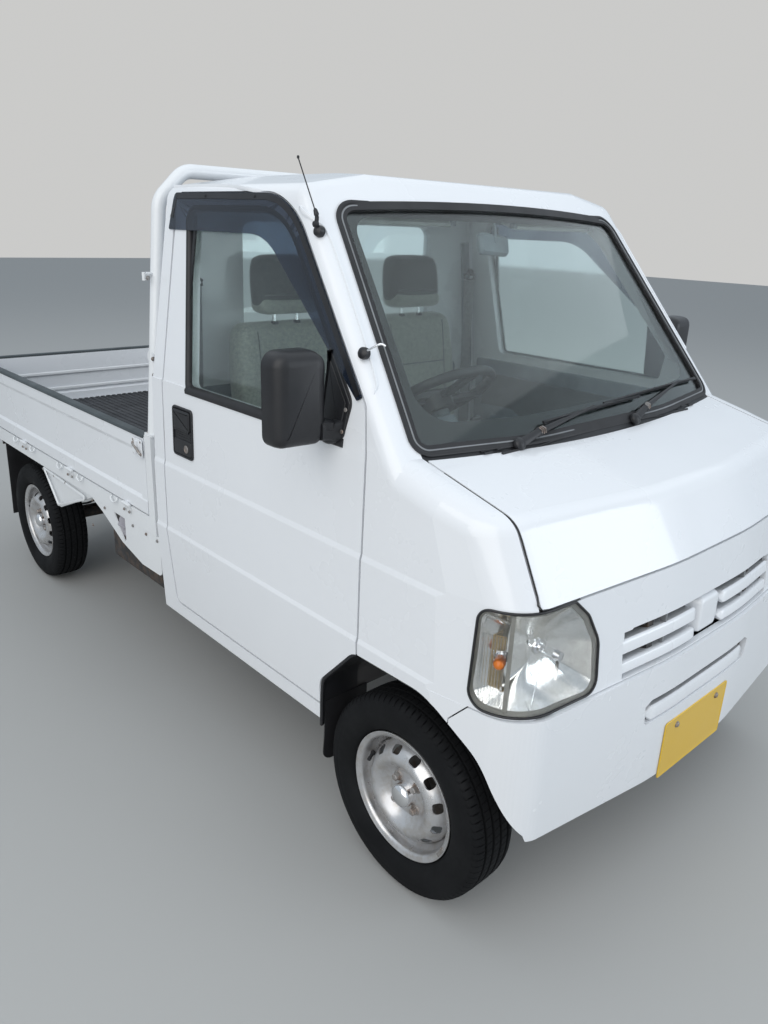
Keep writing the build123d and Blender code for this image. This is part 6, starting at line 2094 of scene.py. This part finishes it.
def make_floor_mats():
    """Rubber floor mats with raised rims and studs, following the floor."""
    ys = [-1120 + 26 * i for i in range(16)]
    for name, x0, x1 in (("right", -520, -110), ("left", 60, 470)):
        xs = [x0 + (x1 - x0) * i / 16 for i in range(17)]

        def top(x, y, xs=xs):
            rim = y in (ys[0], ys[-1]) or x in (xs[0], xs[-1])
            return floor_height(x, y) + (7 if rim else 4)

        mat = sheet(xs, ys, top, lambda x, y: floor_height(x, y) + 0.6)
        piece(f"floor_mat_{name}", [mat], MAT)
        studs = []
        for i in range(9):
            for j in range(8):
                x, y = x0 + 34 + (x1 - x0 - 68) * i / 8, -1090 + 46 * j
                studs.append(turned((x, y, floor_height(x, y) + 3.6), (0, 0, 1),
                                    [(0, 7), (2.6, 5.6), (2.8, 0)], 8))
        piece(f"floor_mat_studs_{name}", studs, MAT)


def make_linings():
    """Roof lining, dome lamp and rear wall trim."""

    def under_roof(x, y):
        found = cast(SHELL_TREE, (x, y, 1450), (0, 0, 1))
        return min(found.z - 5 if found else 1640, 1712)

    lining = sheet([-530 + 53 * i for i in range(21)], [-800 + 40 * i for i in range(15)],
                   under_roof, lambda x, y: under_roof(x, y) - 4)
    piece("roof_lining", [lining], PALE)
    height = cast(SHELL_TREE, (0, -560, 1450), (0, 0, 1)).z - 9
    lamp = turned((0, -560, height), (0, 0, -1), [(0, 46), (4, 46), (12, 42), (16, 30), (17, 0)], 32)
    rim = turned((0, -560, height), (0, 0, -1), [(0, 54), (5, 54), (7, 50), (7, 46)], 32)
    piece("dome_lamp", [lamp], LENS)
    piece("dome_lamp_rim", [rim], PALE)

    def on_wall(point, depth):
        found = cast(SHELL_TREE, (point[0], -320, point[1]), (0, 1, 0))
        y = found.y if found else -196
        return Vector((point[0], y - depth, point[1]))

    low = rectangle((-600, 470), (600, 1090), 40, 5)
    piece("rear_wall_trim", [plate(low, on_wall, 0.6, 6, 2)], TRIM)


def make_belts():
    """Pillar trims, and the belts with their guides, reels and buckles."""
    for name, side in SIDES:
        points = []
        for z in (480, 700, 900, 1100, 1250, 1400, 1540):
            found = cast(SHELL_TREE, (side * 480, -226, z), (side, 0, 0))
            reach = abs(found.x) if found else 690
            points.append((min(reach, 700) - 4, z))
        section = ((0, -232), (24, -232), (34, -222), (34, -206), (0, -206))
        rings = [[(side * (x - d), y, z) for d, y in section] for x, z in points]
        piece(f"pillar_trim_{name}", [loft(rings)], TRIM, bevel=3)
        anchor = Vector((side * (points[5][0] - 34), -236, 1404))
        foot = Vector((side * (points[0][0] - 40), -240, 500))
        strap = []
        for i in range(25):
            spot = anchor.lerp(foot, i / 24)
            bow = 6 * math.sin(math.pi * i / 24)
            strap.append([spot + Vector((-side * bow + dx, dy, 0))
                          for dx, dy in ((-0.8, -23), (0.8, -23), (0.8, 23), (-0.8, 23))])
        strap = [[p + Vector((0, -20, 0)) for p in ring] for ring in strap]
        piece(f"belt_{name}", [loft(strap)], BELT)
        bow = ((-46, 4), (-48, 16), (-20, 26), (8, 16), (6, 4), (-20, 0))
        loop = [tube([anchor + Vector((0, y, z)) for y, z in bow], 4, 10, True),
                turned(anchor + Vector((side * 10, -20, 26)), (-side, 0, 0),
                       [(0, 13), (12, 13), (15, 9), (16, 0)], 24)]
        piece(f"belt_guide_{name}", loop, BLACK)
        reel = [block(foot + Vector((-24, -52, -60)), foot + Vector((24, 16, 20)))]
        piece(f"belt_reel_{name}", reel, BLACK, bevel=8)
        x = -60 if side < 0 else -6
        buckle = [tube([(x, -300, 640), (x, -330, 700), (x, -350, 745)], 6, 10),
                  loft([[(x + d, y + e, z) for d, e in ((-12, -7), (12, -7), (12, 7), (-12, 7))]
                        for y, z in ((-352, 742), (-366, 800))])]
        piece(f"belt_buckle_{name}", buckle, BLACK, bevel=2)
        button = [block((x - 8, -378, 800), (x + 8, -362, 803.5))]
        piece(f"buckle_button_{name}", button, RED_LENS, bevel=1)


def make_interior():
    """Seats, controls, mats and trim of the cab."""
    for name, x in (("right", -310), ("left", 245)):
        make_seat_covers(name, x)
        make_seat_frame(name, x)
    make_steering_details()
    make_cluster()
    make_dash_details()
    make_pedals_and_levers()
    make_floor_mats()
    make_linings()
    make_belts()


# Camera, lights and floor

CAMERA_PLACE = (-1.8326, -2.4314, 1.5885)
CAMERA_ANGLES = (-42.93, 19.89, 2.20)  # azimuth, elevation, roll
SENSOR_WIDTH = 36
FOCAL_PIXELS = 787.4
PICTURE_PIXELS = 1024


def place_camera():
    """Camera at the photograph's place."""
    azimuth, elevation, roll = (math.radians(angle) for angle in CAMERA_ANGLES)
    level = math.cos(elevation)
    back = Vector((math.sin(azimuth) * level, -math.cos(azimuth) * level, math.sin(elevation)))
    right = (-back).cross(Vector((0, 0, 1))).normalized()
    up = right.cross(-back)
    turned_right = right * math.cos(roll) + up * math.sin(roll)
    turned_up = up * math.cos(roll) - right * math.sin(roll)
    data = bpy.data.cameras.new("camera")
    data.sensor_width = SENSOR_WIDTH
    data.lens = FOCAL_PIXELS * SENSOR_WIDTH / PICTURE_PIXELS
    camera = show("camera", data)
    rotation = Matrix((turned_right, turned_up, back)).transposed()
    camera.matrix_world = Matrix.Translation(CAMERA_PLACE) @ rotation.to_4x4()
    bpy.context.scene.camera = camera


LIGHTS = [  # name, place, size, power, colour
    ("key", (-6.5, -3.4, 4.6), 8.0, 350, (1.0, 0.97, 0.93)),
    ("top", (1.0, 0.5, 7.0), 14.0, 255, (0.93, 0.97, 1.0)),
    ("fill", (3.4, -6.5, 2.4), 4.0, 130, (0.88, 0.94, 1.0)),
]


def light_scene():
    """Pale floor, soft studio lights and a plain backdrop."""
    bpy.context.scene.view_settings.view_transform = "Standard"
    floor_mesh = bpy.data.meshes.new("floor")
    floor_mesh.from_pydata([(-30, -30, 0), (30, -30, 0), (30, 30, 0), (-30, 30, 0)], [], [(0, 1, 2, 3)])
    floor_mesh.materials.append(material("floor_paint", (0.42, 0.42, 0.41), 0.9))
    floor = show("floor", floor_mesh)
    world = bpy.data.worlds.new("studio")
    bpy.context.scene.world = world
    world.use_nodes = True
    tree = world.node_tree
    background = tree.nodes["Background"]
    background.inputs["Color"].default_value = (0.8, 0.9, 1.0, 1)
    background.inputs["Strength"].default_value = 0.6
    backdrop = tree.nodes.new("ShaderNodeBackground")
    backdrop.inputs["Color"].default_value = (0.7, 0.7, 0.69, 1)
    backdrop.inputs["Strength"].default_value = 0.85
    path = tree.nodes.new("ShaderNodeLightPath")
    mix = tree.nodes.new("ShaderNodeMixShader")
    tree.links.new(path.outputs["Is Camera Ray"], mix.inputs["Fac"])
    tree.links.new(background.outputs[0], mix.inputs[1])
    tree.links.new(backdrop.outputs[0], mix.inputs[2])
    tree.links.new(mix.outputs[0], tree.nodes["World Output"].inputs["Surface"])
    for name, location, size, energy, colour in LIGHTS:
        data = bpy.data.lights.new(name, "AREA")
        data.shape = "SQUARE"
        data.size = size
        data.energy = energy
        data.color = colour
        light = show(name, data)
        light.location = location
        light.rotation_mode = "QUATERNION"
        light.rotation_quaternion = (Vector(location) - Vector((0, 0, 0.8))).to_track_quat("Z", "Y")


dress_nodes()
for side_name, side_sign in SIDES:
    make_headlamp(side_name, side_sign)
make_reflectors()
make_front_plate()
make_grille()
make_fender_beads()
make_hood_seams()
make_cowl_details()
make_wiper("right", (-365, 22), (-292, 38), (-40, 72), ((-245, 60), (200, 78)))
make_wiper("left", (125, 14), (190, 38), (450, 100), ((25, 75), (600, 108)))
make_screen_details()
make_inner_mirror()
make_sun_shade("right", -330)
make_sun_shade("left", 330)
make_antenna()
make_drip_rails()
make_doors()
make_wheels()
make_bed()
make_underside()
make_interior()
place_camera()
light_scene()
